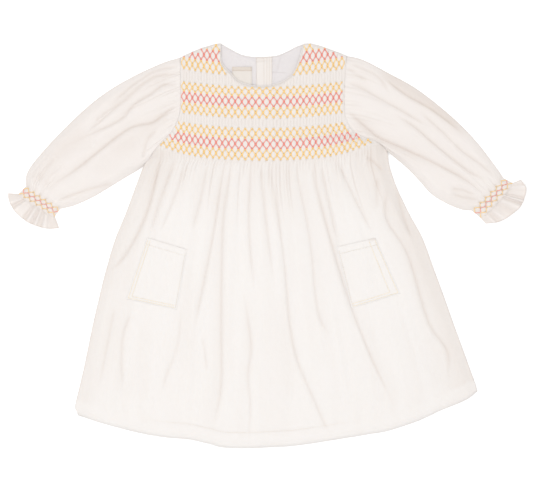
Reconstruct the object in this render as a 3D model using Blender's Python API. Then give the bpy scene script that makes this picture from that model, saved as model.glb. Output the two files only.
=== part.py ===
"""A smocked toddler dress, laid flat on its back.

Sizes are in millimetres and become metres where a mesh is made. +X is the wearer's
left, +Y runs from hem to neck and +Z is up. The back's underside rests on Z = 0, and
X and Y are zero at the middle of the whole outline.
"""

import math

import bmesh
import bpy
import numpy as np
from mathutils.bvhtree import BVHTree

MM = 0.001

# Cloth and seams
SEAM = 0.3
ARMHOLE_SEAM = 0.8
BACK_WALL = 1.6
YOKE_WALL = 1.2
LINING_WALL = 1.0
LABEL_WALL = 0.6
SLEEVE_WALL = 1.7
POCKET_WALL = 1.3
POCKET_HEM = 0.4
FACING_DEPTH = 46.0

# The outline of the body: how far it reaches to each side at each height
#   height, right side, left side
BODY_SIDES = (
    (241.0, -109.0, 100.6),
    (215.0, -109.5, 99.2),
    (190.0, -109.2, 98.0),
    (170.0, -110.0, 98.4),
    (157.0, -114.0, 101.8),
    (146.0, -120.0, 109.5),
    (139.0, -126.0, 121.5),
    (133.0, -131.5, 137.0),
    (128.0, -138.0, 145.8),
    (120.0, -143.5, 152.5),
    (110.0, -150.5, 154.0),
    (100.0, -156.6, 155.8),
    (73.0, -167.0, 165.0),
    (39.0, -179.6, 181.3),
    (9.0, -192.0, 197.5),
    (-29.0, -203.5, 211.5),
    (-64.0, -212.2, 224.4),
    (-102.0, -221.0, 237.8),
    (-152.0, -231.3, 256.0),
    (-185.0, -239.0, 267.2),
    (-205.0, -243.2, 268.0),
    (-216.0, -239.5, 268.0),
    (-258.0, -239.5, 268.0),
)

# Lines drawn through (x, y) points
HEM = (
    (-239.5, -215.0), (-217.0, -222.3), (-187.0, -231.0), (-155.0, -238.5),
    (-129.0, -242.8), (-99.0, -245.5), (-74.0, -251.0), (-56.0, -255.6),
    (-29.0, -256.7), (1.0, -255.4), (30.0, -253.8), (60.0, -250.0),
    (92.0, -244.8), (130.0, -238.6), (153.0, -234.5), (190.0, -222.3),
    (220.0, -208.8), (250.0, -196.0), (267.2, -184.6),
)
RIGHT_SHOULDER = ((-109.0, 239.2), (-96.8, 245.0), (-83.8, 250.3), (-65.8, 255.7))
LEFT_SHOULDER = ((54.9, 256.7), (67.6, 253.4), (84.1, 247.5), (100.6, 241.1))
FRONT_NECK = (
    (-57.5, 256.5), (-57.9, 248.0), (-56.3, 232.2), (-45.0, 219.1), (-35.3, 209.4),
    (-22.2, 204.7), (-6.1, 202.6), (10.2, 205.4), (23.1, 211.1), (34.4, 220.8),
    (40.1, 235.4), (44.2, 249.0), (46.6, 256.5),
)
BACK_NECK = (
    (-57.5, 256.5), (-45.0, 249.1), (-32.0, 242.6), (-15.7, 240.0),
    (10.2, 241.1), (26.3, 247.0), (35.8, 252.2), (46.6, 256.5),
)

# Smocking: pleats across the front, gathered in bands of zigzag thread
PLEATS = 52
PLEAT_HEIGHT = 3.8
PLEAT_FLOOR = 1.4
PLEAT_PULL = 0.32
JOINED_DIP = 0.9
MIDDLE_SPREAD = 1.16
SMOCK_MIDDLE = -5.0
SMOCK_HALF_WIDTH = 103.5
BAND_SAG = 7.3
#   level in its band (or None where the pleats run free), height at the middle, extra height at the sides
FRONT_ROWS = (
    (0, 246.2, -7.3),
    (1, 239.4, -7.3),
    (2, 232.6, -7.3),
    (3, 225.8, -7.3),
    (4, 219.0, -7.3),
    (None, 211.0, -3.6),
    (0, 203.0, 0.0),
    (1, 196.1, 0.0),
    (2, 189.2, 0.0),
    (3, 182.4, 0.0),
    (4, 175.5, 0.0),
    (5, 168.6, 0.0),
    (6, 161.7, 0.0),
    (None, 155.2, 0.0),
    (0, 148.7, 1.0),
    (1, 142.0, 3.4),
    (2, 135.2, 5.8),
    (3, 128.5, 8.2),
    (4, 121.8, 10.6),
    (5, 115.0, 13.0),
    (6, 108.3, 15.4),
    (None, 99.0, 13.0),
    (None, 87.0, 10.0),
)
SKIRT_ROWS = 12
HEM_DEPTH = 20.0
RELEASE_TOP = 108.0
RELEASE_BOTTOM = 62.0

# Heights of the front cloth: its lowest inner and outer places, and how far folds lift them
SMOCK_INSIDE = 2.8
SKIRT_INSIDE = 1.9
SKIRT_VALLEY_WALL = 1.7
SKIRT_INSIDE_LIFT = 3.5
SKIRT_OUTSIDE_LIFT = 4.7
SIDE_ROLL = 16.0

# Folds of the skirt: depth, half width, and the line each one follows
SKIRT_FOLDS = (
    (0.9, 9.0, ((-133, 119), (-151, 44), (-178, -10), (-198, -32))),
    (0.6, 7.0, ((-115, 109), (-133, 64), (-148, 15))),
    (0.6, 7.0, ((-102, 103), (-118, 59), (-136, 15))),
    (0.6, 7.0, ((-76, 103), (-84, 59), (-94, 20))),
    (0.9, 8.5, ((-56, 95), (-66, 25), (-81, -52), (-91, -102))),
    (0.9, 9.0, ((-47, 95), (-56, 25), (-58, -99), (-58, -177), (-68, -229))),
    (0.7, 8.0, ((-20, 101), (-23, 30), (-17, -52))),
    (0.9, 9.5, ((-29, -62), (-20, -125), (-24, -164), (-21, -202), (-24, -254))),
    (0.6, 7.0, ((-7, 101), (-4, 57), (9, -47))),
    (0.7, 9.0, ((-193, -80), (-200, -115), (-212, -177))),
    (0.9, 9.5, ((-172, -85), (-183, -120), (-183, -189))),
    (0.7, 9.0, ((-108, -80), (-113, -125), (-125, -159), (-133, -184))),
    (0.5, 8.0, ((-81, -115), (-76, -159))),
    (0.9, 9.0, ((4, 103), (21, -10), (33, -125), (66, -210), (83, -244))),
    (0.8, 8.0, ((35, 106), (54, 10), (64, -80), (78, -112))),
    (1.0, 10.0, ((54, 106), (83, 0), (108, -80), (134, -145), (160, -200))),
    (0.6, 7.0, ((68, 103), (80, 49), (90, 2))),
    (0.7, 8.0, ((90, 106), (108, 67), (134, 15))),
    (0.6, 8.0, ((126, 114), (148, 95))),
    (0.5, 9.0, ((139, 87), (139, 47))),
    (0.9, 9.5, ((153, 75), (151, 35), (178, -10), (205, -97), (228, -132), (230, -172))),
    (0.6, 8.0, ((163, 75), (173, 39), (183, 10))),
)

# Sleeves: the edges of each as it lies, down to its smocked cuff and round its ruffle
SLEEVES = {
    "sleeve_right": {
        "side": -1,
        "shoulder_edge": (
            (-109.0, 239.2), (-135.6, 230.6), (-176.8, 211.0), (-215.8, 185.9),
            (-257.8, 147.8), (-291.8, 110.6), (-304.5, 91.2), (-306.8, 70.9),
        ),
        "underarm_edge": (
            (-139.0, 128.8), (-148.8, 115.2), (-160.0, 101.0), (-186.4, 82.5),
            (-218.9, 62.8), (-241.7, 52.3), (-253.7, 48.7), (-265.2, 46.4),
        ),
        "cuff_end": ((-313.0, 65.5), (-269.8, 39.0)),
        "ruffle_end": (
            (-328.3, 66.7), (-326.6, 57.1), (-319.4, 44.1), (-304.8, 31.2),
            (-290.2, 24.7), (-277.2, 21.8), (-263.5, 22.7),
        ),
        "folds": (
            (0.7, 8.0, ((-114, 207), (-148, 193), (-169, 175), (-193, 151), (-222, 135))),
            (1.0, 10.0, ((-137, 161), (-193, 135), (-238, 98), (-269, 77), (-285, 68))),
            (0.6, 10.0, ((-204, 180), (-235, 157))),
            (0.6, 12.0, ((-242, 128), (-266, 127))),
            (0.7, 8.0, ((-202, 79), (-242, 70), (-266, 57))),
            (0.6, 7.0, ((-139, 148), (-150, 126), (-156, 107))),
            (0.5, 5.0, ((-110, 226), (-135, 222), (-161, 214))),
        ),
    },
    "sleeve_left": {
        "side": 1,
        "shoulder_edge": (
            (100.6, 241.1), (122.7, 235.6), (155.4, 218.5), (191.4, 198.1),
            (233.7, 164.5), (264.9, 133.3), (291.5, 98.9), (301.9, 83.6),
        ),
        "underarm_edge": (
            (153.4, 122.0), (163.3, 113.0), (178.9, 98.1), (194.6, 81.6),
            (208.7, 66.0), (229.0, 53.5), (247.9, 46.0), (262.3, 44.6),
        ),
        "cuff_end": ((310.6, 79.0), (270.6, 36.4)),
        "ruffle_end": (
            (322.2, 84.0), (328.2, 74.7), (327.9, 65.8), (322.1, 50.6),
            (310.1, 39.4), (294.9, 30.8), (277.7, 28.2),
        ),
        "folds": (
            (1.0, 10.0, ((103, 171), (140, 142), (184, 119), (233, 96), (273, 68))),
            (0.8, 10.0, ((148, 214), (170, 197), (224, 162), (242, 151))),
            (0.6, 8.0, ((127, 197), (151, 182), (200, 164))),
            (0.8, 9.0, ((200, 148), (233, 124), (257, 103), (280, 85))),
            (0.5, 6.0, ((250, 124), (268, 109), (291, 86))),
            (0.5, 6.0, ((233, 67), (257, 57))),
            (0.5, 5.0, ((101, 226), (127, 208))),
        ),
    },
}
SLEEVE_PLEATS = 12
SLEEVE_BODY_ROWS = 11
CUFF_LEVELS = 4
SLEEVE_EDGE = 1.9
SLEEVE_VALLEY = 3.5
SLEEVE_LIFT = 4.6
SLEEVE_ROLL = 13.0

# Patch pockets, by their corners: top outer side, top inner side, bottom inner side, bottom outer side
POCKETS = {
    "pocket_right": ((-151.5, 10.6), (-100.7, -4.6), (-114.0, -80.8), (-178.2, -67.5)),
    "pocket_left": ((137.4, 10.0), (88.5, -1.3), (107.3, -79.2), (168.8, -60.3)),
}

# The back: an opening under a button stand, from the neck to the yoke seam
OPENING_X = -13.3
STAND_WIDTH = 20.0
YOKE_SEAM = 104.0
BUTTONS = (224.0, 182.0, 140.0)
BUTTON_RADIUS = 5.5
BUTTON_HEIGHT = 1.9
BUTTON_LIFT = 2.2
LABEL = (-44.0, -19.0, 199.0, 227.0)
BINDING_WIDTH = 3.0
BINDING_HEIGHT = 2.5


# ---------------------------------------------------------------- plain helpers


def smooth(low, high, value):
    """0 below low, 1 above high, and an even S between."""
    share = np.clip((value - low) / (high - low), 0.0, 1.0)
    return share * share * (3.0 - 2.0 * share)


def curve_through(points, per_span=10):
    """A Catmull-Rom curve through the points, per_span steps from each to the next."""
    knots = np.asarray(points, float)
    ends = np.vstack([2 * knots[0] - knots[1], knots, 2 * knots[-1] - knots[-2]])
    share = np.linspace(0, 1, per_span, endpoint=False)[:, None]
    spans = []
    for a, b, c, d in zip(ends, ends[1:], ends[2:], ends[3:]):
        spans.append(
            b
            + 0.5 * share * (c - a)
            + share**2 * (a - 2.5 * b + 2 * c - 0.5 * d)
            + share**3 * (-0.5 * a + 1.5 * b - 1.5 * c + 0.5 * d)
        )
    return np.vstack(spans + [knots[-1:]])


def evenly(points, count):
    """count points at equal steps along a smooth curve through the given ones."""
    line = curve_through(points)
    run = np.concatenate([[0], np.cumsum(np.linalg.norm(np.diff(line, axis=0), axis=1))])
    wanted = np.linspace(0, run[-1], count)
    return np.stack([np.interp(wanted, run, line[:, i]) for i in range(line.shape[1])], axis=1)


def offset_line(points, distance):
    """The curve through the points, moved to its right-hand side by distance."""
    line = evenly(points, 80)
    along = np.gradient(line, axis=0)
    along /= np.linalg.norm(along, axis=1)[:, None]
    return line + distance * np.stack([along[:, 1], -along[:, 0]], axis=1)


SIDE_LINES = curve_through(BODY_SIDES, 6)
HEM_LINE = curve_through(HEM)


def right_side(y):
    return np.interp(-y, -SIDE_LINES[:, 0], SIDE_LINES[:, 1])


def left_side(y):
    return np.interp(-y, -SIDE_LINES[:, 0], SIDE_LINES[:, 2])


def hem_height(x):
    return np.interp(x, HEM_LINE[:, 0], HEM_LINE[:, 1])


def top_edge(neck):
    """y of a panel's top edge at any x: shoulder, neck, shoulder."""
    line = np.vstack([curve_through(RIGHT_SHOULDER), neck, curve_through(LEFT_SHOULDER)])
    rising = np.maximum.accumulate(line[:, 0] + 1e-4 * np.arange(len(line)))
    return lambda x: np.interp(x, rising, line[:, 1])


def fold_depth(x, y, folds):
    """Soft troughs: each falls off across its line as a bell and dies away at both ends."""
    depth = np.zeros(np.shape(x))
    for deep, half_width, line in folds:
        knots = curve_through(line, 4)
        nearest = np.full(np.shape(x), np.inf)
        along = np.zeros(np.shape(x))
        for i, (start, end) in enumerate(zip(knots, knots[1:])):
            dx, dy = end - start
            share = ((x - start[0]) * dx + (y - start[1]) * dy) / (dx * dx + dy * dy)
            share = np.clip(share, 0, 1)
            away = np.hypot(x - start[0] - share * dx, y - start[1] - share * dy)
            closer = away < nearest
            nearest = np.where(closer, away, nearest)
            along = np.where(closer, (i + share) / (len(knots) - 1), along)
        ends = smooth(-0.05, 0.18, along) * smooth(-0.05, 0.3, 1 - along)
        depth = np.maximum(depth, deep * ends * np.exp(-((nearest / half_width) ** 2)))
    return depth


def button_lift(x, y):
    """How far the buttons under the back opening lift what lies on them, 0 to 1."""
    middle = OPENING_X + STAND_WIDTH / 2
    across = 1 - smooth(7, 20, np.abs(x - middle))
    return across * smooth(112, 128, y) * (1 - smooth(231, 239, y))


def label_lift(x, y):
    x0, x1, y0, y1 = LABEL
    across = smooth(x0 - 10, x0 - 2, x) * (1 - smooth(x1 + 2, x1 + 10, x))
    return across * smooth(y0 - 10, y0 - 2, y) * (1 - smooth(y1 + 2, y1 + 10, y))


# ---------------------------------------------------------------- making meshes


def cloth_material(name, colour, roughness=0.85):
    material = bpy.data.materials.new(name)
    material.use_nodes = True
    shader = material.node_tree.nodes["Principled BSDF"]
    shader.inputs["Base Color"].default_value = (*colour, 1.0)
    shader.inputs["Roughness"].default_value = roughness
    shader.inputs["Metallic"].default_value = 0.0
    material.diffuse_color = (*colour, 1.0)
    return material


def add_object(name, mesh, material, collection):
    obj = bpy.data.objects.new(name, mesh)
    mesh.materials.append(material)
    collection.objects.link(obj)
    return obj


def wall_mesh(name, outer, inner, tube=False):
    """A closed wall between two grids of points, rows down and columns across.

    A tube's columns run right round, so only its first and last rows get a rim.
    """
    rows, columns = outer.shape[:2]
    points = np.concatenate([outer.reshape(-1, 3), inner.reshape(-1, 3)]) * MM
    index = np.arange(rows * columns).reshape(rows, columns)
    if tube:
        index = np.hstack([index, index[:, :1]])
    a, b = index[:-1, :-1].ravel(), index[:-1, 1:].ravel()
    c, d = index[1:, 1:].ravel(), index[1:, :-1].ravel()
    under = rows * columns
    faces = [np.stack([a, d, c, b], 1), np.stack([a, b, c, d], 1) + under]
    rims = [index[0], index[-1][::-1]]
    if not tube:
        rims += [index[::-1, 0], index[:, -1]]
    for rim in rims:
        near, far = rim[:-1], rim[1:]
        faces.append(np.stack([near, far, far + under, near + under], 1))
    mesh = bpy.data.meshes.new(name)
    mesh.from_pydata(points.tolist(), [], np.concatenate(faces).tolist())
    return finished(mesh)


def finished(mesh):
    """Merges points that coincide, turns every face outwards and shades the mesh smooth."""
    shape = bmesh.new()
    shape.from_mesh(mesh)
    bmesh.ops.remove_doubles(shape, verts=shape.verts, dist=2e-5)
    bmesh.ops.recalc_face_normals(shape, faces=shape.faces)
    bmesh.ops.triangulate(shape, faces=shape.faces)
    shape.to_mesh(mesh)
    shape.free()
    mesh.shade_smooth()
    mesh.set_sharp_from_angle(angle=math.radians(50))
    return mesh


def slab_mesh(name, x, y, floor, thickness):
    """A panel of even thickness over a grid of x and y, on the height that floor gives."""
    low = np.stack([x, y, floor(x, y)], axis=2)
    return wall_mesh(name, low + (0, 0, thickness), low)


# ---------------------------------------------------------------- the front


def front_grid():
    """x, y and pleat data of the front's grid: two columns a pleat, rows at the thread levels."""
    across = np.linspace(-1, 1, 2 * PLEATS + 1)
    neck = offset_line(FRONT_NECK, BINDING_WIDTH + 0.7)
    straight_x = column_x(across, np.full(across.shape, 200.0))
    top = top_edge(neck)(straight_x) - 0.2
    hem_y = hem_height(HEM[0][0] + (HEM[-1][0] - HEM[0][0]) * (across + 1) / 2)
    rows = [np.full(across.shape, 999.0)]
    levels = [None]
    for level, middle, extra in FRONT_ROWS:
        lift = BAND_SAG * across**2 + extra * np.abs(across) ** np.where(extra < 0, 2, 12)
        rows.append(middle + lift)
        levels.append(level)
    last = rows[-1]
    for share in np.linspace(0, 1, SKIRT_ROWS + 1)[1:]:
        rows.append(last + (hem_y + HEM_DEPTH - last) * share)
        levels.append("skirt")
    rows.append(hem_y)
    levels.append("skirt")
    y = np.minimum(np.array(rows), top)
    x = column_x(across[None, :], y)
    return across, x, y, top, levels


def column_x(across, y):
    """Even pleats over the chest, a little wider in the middle; lower down they fan out to the sides."""
    chest = SMOCK_HALF_WIDTH * (MIDDLE_SPREAD * across - (MIDDLE_SPREAD - 1) * across**3)
    power = 1 + 5 * smooth(-60, 110, y)
    edge = np.abs(across) ** power
    right = right_side(y) - (SMOCK_MIDDLE - SMOCK_HALF_WIDTH)
    left = left_side(y) - (SMOCK_MIDDLE + SMOCK_HALF_WIDTH)
    return SMOCK_MIDDLE + chest + np.where(across < 0, right, left) * edge


def skirt_rise(x, y):
    """0 where the skirt lies flat, 1 on top of its folds."""
    side = np.minimum(x - right_side(y), left_side(y) - x)
    roll = 0.08 + 0.92 * smooth(0, SIDE_ROLL, side)
    hem = 0.82 + 0.18 * smooth(0, 60, y - hem_height(x))
    return np.clip(1 - fold_depth(x, y, SKIRT_FOLDS), 0, 1) * roll * hem


def chest_inside(x, y):
    """z of the chest's plain inside, lifted where buttons or the label lie below."""
    return SMOCK_INSIDE + BUTTON_LIFT * button_lift(x, y) + 0.9 * label_lift(x, y)


def front_heights(x, y, pleat):
    """Outer and inner z: pleats over a plain inside on the chest, soft folds down the skirt."""
    to_skirt = 1 - smooth(RELEASE_BOTTOM, RELEASE_TOP, y)
    rise = skirt_rise(x, y)
    chest_in = chest_inside(x, y)
    skirt_in = SKIRT_INSIDE + SKIRT_INSIDE_LIFT * rise
    chest_out = chest_in + PLEAT_FLOOR + PLEAT_HEIGHT * pleat
    skirt_out = SKIRT_INSIDE + SKIRT_VALLEY_WALL + SKIRT_OUTSIDE_LIFT * rise
    outer = chest_out + (skirt_out - chest_out) * to_skirt
    inner = chest_in + (skirt_in - chest_in) * to_skirt
    return outer, inner


def make_front():
    across, x, y, top, levels = front_grid()
    columns = np.arange(len(across))
    crest = columns % 2 == 1
    pleat = np.zeros(x.shape)
    shifted = x.copy()
    spread = np.gradient(x, axis=1) * 2
    from_top = smooth(0, 9, top - y)
    from_side = smooth(0, 5, np.minimum(x - x[:, :1], x[:, -1:] - x))
    for row, level in enumerate(levels):
        if level == "skirt":
            continue
        free = level is None
        pleat[row] = crest * (0.85 + (0.0 if free else 0.15) * from_top[row])
        if free:
            continue
        number = (columns - 1) // 2
        pull = np.where((number + level) % 2 == 0, 1, -1) * crest
        shifted[row] += pull * PLEAT_PULL * spread[row] * from_top[row] * from_side[row]
        joined = ~crest & ((columns // 2 + level) % 2 == 1)
        pleat[row] += joined * (1 - JOINED_DIP / PLEAT_HEIGHT) * from_top[row]
    pleat *= (0.45 + 0.55 * from_top) * (0.35 + 0.65 * from_side)
    outer_z, inner_z = front_heights(x, y, pleat)
    for row, level in enumerate(levels):
        if level != "skirt":
            continue
        for grid in (x, shifted, y, outer_z, inner_z):
            grid[row, 1::2] = grid[row, :-1:2]
    outer = np.stack([shifted, y, outer_z], axis=2)
    inner = np.stack([x, y, inner_z], axis=2)
    return wall_mesh("front", outer, inner)


# ---------------------------------------------------------------- the back and what lies in the neck


def yoke_grid(x0, x1, top, bottom, step=5.0):
    """A panel under the neck: its top follows the shoulder and neck line, its foot is straight."""
    count = max(2, int(round((x1 - x0) / step)) + 1)
    share = np.linspace(0, 1, count)[None, :]
    straight = x0 + (x1 - x0) * share
    head = top(straight) - 0.2
    down = np.linspace(0, 1, int(round((head.max() - bottom) / step)) + 1)[:, None]
    y = head + (bottom - head) * down
    return straight, y


def back_floor(layer_bottom):
    return lambda x, y: layer_bottom + BUTTON_LIFT * button_lift(x, y)


def make_back_pieces():
    """The pieces of the back, each a slab: name to mesh."""
    back_top = top_edge(offset_line(BACK_NECK, BINDING_WIDTH + 0.7))
    opening = OPENING_X - SEAM / 2
    meshes = {}
    outer_right, y = yoke_grid(-109.0, opening - SEAM / 2, back_top, YOKE_SEAM + SEAM)
    flare = smooth(0, 1, (opening - outer_right) / (opening + 109.0)) ** 3
    x = outer_right + (right_side(y) + 109.0) * flare
    meshes["back_yoke_right"] = slab_mesh("back_yoke_right", x, y, back_floor(0.0), YOKE_WALL)
    outer_left, y = yoke_grid(opening + SEAM / 2, 100.6, back_top, YOKE_SEAM + SEAM)
    flare = smooth(0, 1, (outer_left - opening) / (100.6 - opening)) ** 3
    x = outer_left + (left_side(y) - 100.6) * flare
    meshes["back_yoke_left"] = slab_mesh("back_yoke_left", x, y, back_floor(0.0), YOKE_WALL)

    inside = YOKE_WALL + SEAM
    stand_end = OPENING_X + STAND_WIDTH
    x, y = yoke_grid(OPENING_X, stand_end, back_top, YOKE_SEAM + 3.0)
    meshes["button_stand"] = slab_mesh(
        "button_stand", np.broadcast_to(x, y.shape), y, back_floor(inside), LINING_WALL
    )
    for name, x0, x1 in (
        ("neck_lining_right", -92.0, OPENING_X - SEAM),
        ("neck_lining_left", stand_end + SEAM, 84.0),
    ):
        x, y = yoke_grid(x0, x1, back_top, 240.0 - FACING_DEPTH)
        meshes[name] = slab_mesh(
            name, np.broadcast_to(x, y.shape), y, back_floor(inside), LINING_WALL
        )
    x0, x1, y0, y1 = LABEL
    x, y = np.meshgrid(np.linspace(x0, x1, 6), np.linspace(y1, y0, 6))
    on_lining = back_floor(inside + LINING_WALL + SEAM)
    meshes["label"] = slab_mesh("label", x, y, on_lining, LABEL_WALL)

    across = np.linspace(0, 1, 43)[None, :]
    down = np.linspace(0, 1, 24)[:, None]
    hem = hem_height(HEM[0][0] + (HEM[-1][0] - HEM[0][0]) * across) + 1.0
    y = YOKE_SEAM + (hem - YOKE_SEAM) * down
    x = right_side(y) + (left_side(y) - right_side(y)) * across
    meshes["back_skirt"] = slab_mesh("back_skirt", x, y, back_floor(0.0), BACK_WALL)
    return meshes


def strip_mesh(name, path, floor):
    """A flat strip with rounded edges swept along a plan path, its underside on the height floor gives."""
    along = np.gradient(path, axis=0)
    along /= np.linalg.norm(along, axis=1)[:, None]
    aside = np.stack([along[:, 1], -along[:, 0]], axis=1)
    half, high = BINDING_WIDTH / 2, BINDING_HEIGHT
    #   across the strip, up from its underside
    section = ((-half, 0.0), (half, 0.0), (half, 0.7 * high), (0.6 * half, high), (-0.6 * half, high), (-half, 0.7 * high))
    low = floor(path[:, 0], path[:, 1])
    rings = [np.column_stack([path + a * aside, low + up]) for a, up in section]
    return loft_mesh(name, np.stack(rings, axis=1))


def loft_mesh(name, rings):
    """A closed solid through rings of points, capped at both ends."""
    count, size = rings.shape[:2]
    index = np.arange(count * size).reshape(count, size)
    index = np.hstack([index, index[:, :1]])
    a, b = index[:-1, :-1].ravel(), index[:-1, 1:].ravel()
    c, d = index[1:, 1:].ravel(), index[1:, :-1].ravel()
    faces = np.stack([a, b, c, d], 1).tolist()
    faces += [index[0, :-1].tolist(), index[-1, :-1].tolist()]
    mesh = bpy.data.meshes.new(name)
    mesh.from_pydata((rings.reshape(-1, 3) * MM).tolist(), [], faces)
    return finished(mesh)


def make_bindings():
    """The narrow strip round the neck, one length along the front and one each side of the opening."""
    front = evenly(offset_line(FRONT_NECK, BINDING_WIDTH / 2), 44)
    back = offset_line(BACK_NECK, BINDING_WIDTH / 2)
    middle = OPENING_X + STAND_WIDTH / 2
    ground = lambda x, y: np.full(np.shape(x), 0.1)
    right = evenly(back[back[:, 0] < middle - SEAM], 14)
    left = evenly(back[back[:, 0] > middle + SEAM], 14)
    return {
        "neck_binding_front": strip_mesh("neck_binding_front", front, lambda x, y: chest_inside(x, y) + 0.1),
        "neck_binding_back_right": strip_mesh("neck_binding_back_right", right, ground),
        "neck_binding_back_left": strip_mesh("neck_binding_back_left", left, ground),
    }


# ---------------------------------------------------------------- sleeves, pockets, buttons


def sleeve_plan(size):
    """x and y of a sleeve: rows from armhole to ruffle, columns from shoulder edge to underarm edge."""
    side = right_side if size["side"] < 0 else left_side
    shoulder = evenly(size["shoulder_edge"], SLEEVE_BODY_ROWS)
    underarm = evenly(size["underarm_edge"], SLEEVE_BODY_ROWS)
    cuff = np.array(size["cuff_end"])
    ruffle = evenly(size["ruffle_end"], 2 * SLEEVE_PLEATS + 1)
    for share in np.arange(1, CUFF_LEVELS) / (CUFF_LEVELS - 1):
        shoulder = np.vstack([shoulder, shoulder[SLEEVE_BODY_ROWS - 1] * (1 - share) + cuff[0] * share])
        underarm = np.vstack([underarm, underarm[SLEEVE_BODY_ROWS - 1] * (1 - share) + cuff[1] * share])
    for share in (0.5, 1.0):
        shoulder = np.vstack([shoulder, cuff[0] * (1 - share) + ruffle[0] * share])
        underarm = np.vstack([underarm, cuff[1] * (1 - share) + ruffle[-1] * share])
    across = np.linspace(0, 1, 2 * SLEEVE_PLEATS + 1)[None, :, None]
    plan = shoulder[:, None] * (1 - across) + underarm[:, None] * across
    heights = np.linspace(shoulder[0, 1], underarm[0, 1], 60)
    armhole = evenly(np.column_stack([side(heights) + size["side"] * ARMHOLE_SEAM, heights]), plan.shape[1])
    rows = np.arange(len(plan))
    near_body = np.clip(1 - rows / 5, 0, 1)[:, None, None] ** 1.5
    near_end = np.clip((rows - (len(plan) - 3)) / 2, 0, 1)[:, None, None]
    plan = plan + (armhole - plan[0]) * near_body + (ruffle - plan[-1]) * near_end
    return plan[:, :, 0], plan[:, :, 1]


def sleeve_pleats(rows, columns):
    """How high each place stands for its pleats alone, 0 to 1, and how far its pleat is pulled aside, in columns."""
    rise = np.ones((rows, columns))
    pull = np.zeros((rows, columns))
    crest = np.arange(columns) % 2 == 1
    number = (np.arange(columns) - 1) // 2
    for row in range(rows):
        level = row - (SLEEVE_BODY_ROWS - 1)
        if row < 3:
            rise[row] = np.where(crest, 1.0, 0.62 + 0.13 * row)
        elif level < 0:
            rise[row] = np.where(crest, 1.0, 1 - 0.22 * max(0, 4 + level))
        elif level < CUFF_LEVELS:
            joined = ~crest & ((np.arange(columns) // 2 + level) % 2 == 1)
            rise[row] = np.where(crest, 0.86, np.where(joined, 0.66, 0.0))
            pull[row] = np.where((number + level) % 2 == 0, 1, -1) * crest * 2 * PLEAT_PULL
        else:
            rise[row] = np.where(crest, 1.0, 0.15)
    return rise, pull


def make_sleeve(name, size):
    """A flattened tube: the top layer's rows of folds, a plain bottom layer on the floor, open at both ends."""
    x, y = sleeve_plan(size)
    rows, columns = x.shape
    width = np.hypot(x[:, -1] - x[:, 0], y[:, -1] - y[:, 0])[:, None]
    across = np.linspace(0, 1, columns)[None, :]
    pleats, pull = sleeve_pleats(rows, columns)
    across_pulled = across + pull / (columns - 1) * smooth(0, 4, np.minimum(across, 1 - across) * width)

    def place(share):
        """x and y at any share of the way across each row."""
        at = np.clip(np.broadcast_to(share, (rows, share.shape[-1])), 0, 1) * (columns - 1)
        return (
            np.array([np.interp(at[i], np.arange(columns), x[i]) for i in range(rows)]),
            np.array([np.interp(at[i], np.arange(columns), y[i]) for i in range(rows)]),
        )

    in_cuff = (np.arange(rows) >= SLEEVE_BODY_ROWS - 1)[:, None]
    edge = np.minimum(across, 1 - across) * width
    roll = smooth(0, np.minimum(SLEEVE_ROLL, width / 5), edge)
    folds = np.where(in_cuff, 1.0, 1 - fold_depth(x, y, size["folds"]))
    rise = np.clip(folds * pleats, 0, 1) * roll
    top_z = SLEEVE_EDGE + (SLEEVE_VALLEY - SLEEVE_EDGE) * smooth(0, 5, edge) + SLEEVE_LIFT * rise
    top_x, top_y = place(across_pulled)
    floor_share = 0.012 + 0.976 * across[:, ::-1]
    floor_x, floor_y = place(floor_share)
    outer = np.stack(
        [
            np.hstack([top_x, floor_x]),
            np.hstack([top_y, floor_y]),
            np.hstack([top_z, np.zeros(floor_x.shape)]),
        ],
        axis=2,
    )

    inset = 5.5 / width
    share = inset + across * (1 - 2 * inset)
    in_x, in_y = place(share)
    lining = SLEEVE_VALLEY - SLEEVE_WALL
    folds_in = np.where(in_cuff, 0.3, 1 - fold_depth(in_x, in_y, size["folds"]))
    room = smooth(0, 8, np.minimum(across, 1 - across) * width)
    in_top = lining + (SLEEVE_LIFT - 1.2) * np.clip(folds_in, 0, 1) * room * np.where(in_cuff, 0.3, 0.8)
    in_top[:, [0, -1]] = lining - 0.2
    in_low_x, in_low_y = in_x[:, ::-1], in_y[:, ::-1]
    inner = np.stack(
        [
            np.hstack([in_x, in_low_x]),
            np.hstack([in_y, in_low_y]),
            np.hstack([in_top, np.full(in_low_x.shape, lining - SEAM - 0.1)]),
        ],
        axis=2,
    )
    return wall_mesh(name, outer, inner, tube=True)


def surface_height(mesh):
    """A function giving the highest z of a mesh above any (x, y), in millimetres."""
    tree = BVHTree.FromPolygons([v.co for v in mesh.vertices], [p.vertices for p in mesh.polygons])

    def height(x, y):
        hit = tree.ray_cast((x * MM, y * MM, 1.0), (0, 0, -1))[0]
        return hit.z / MM

    return np.vectorize(height)


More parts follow.
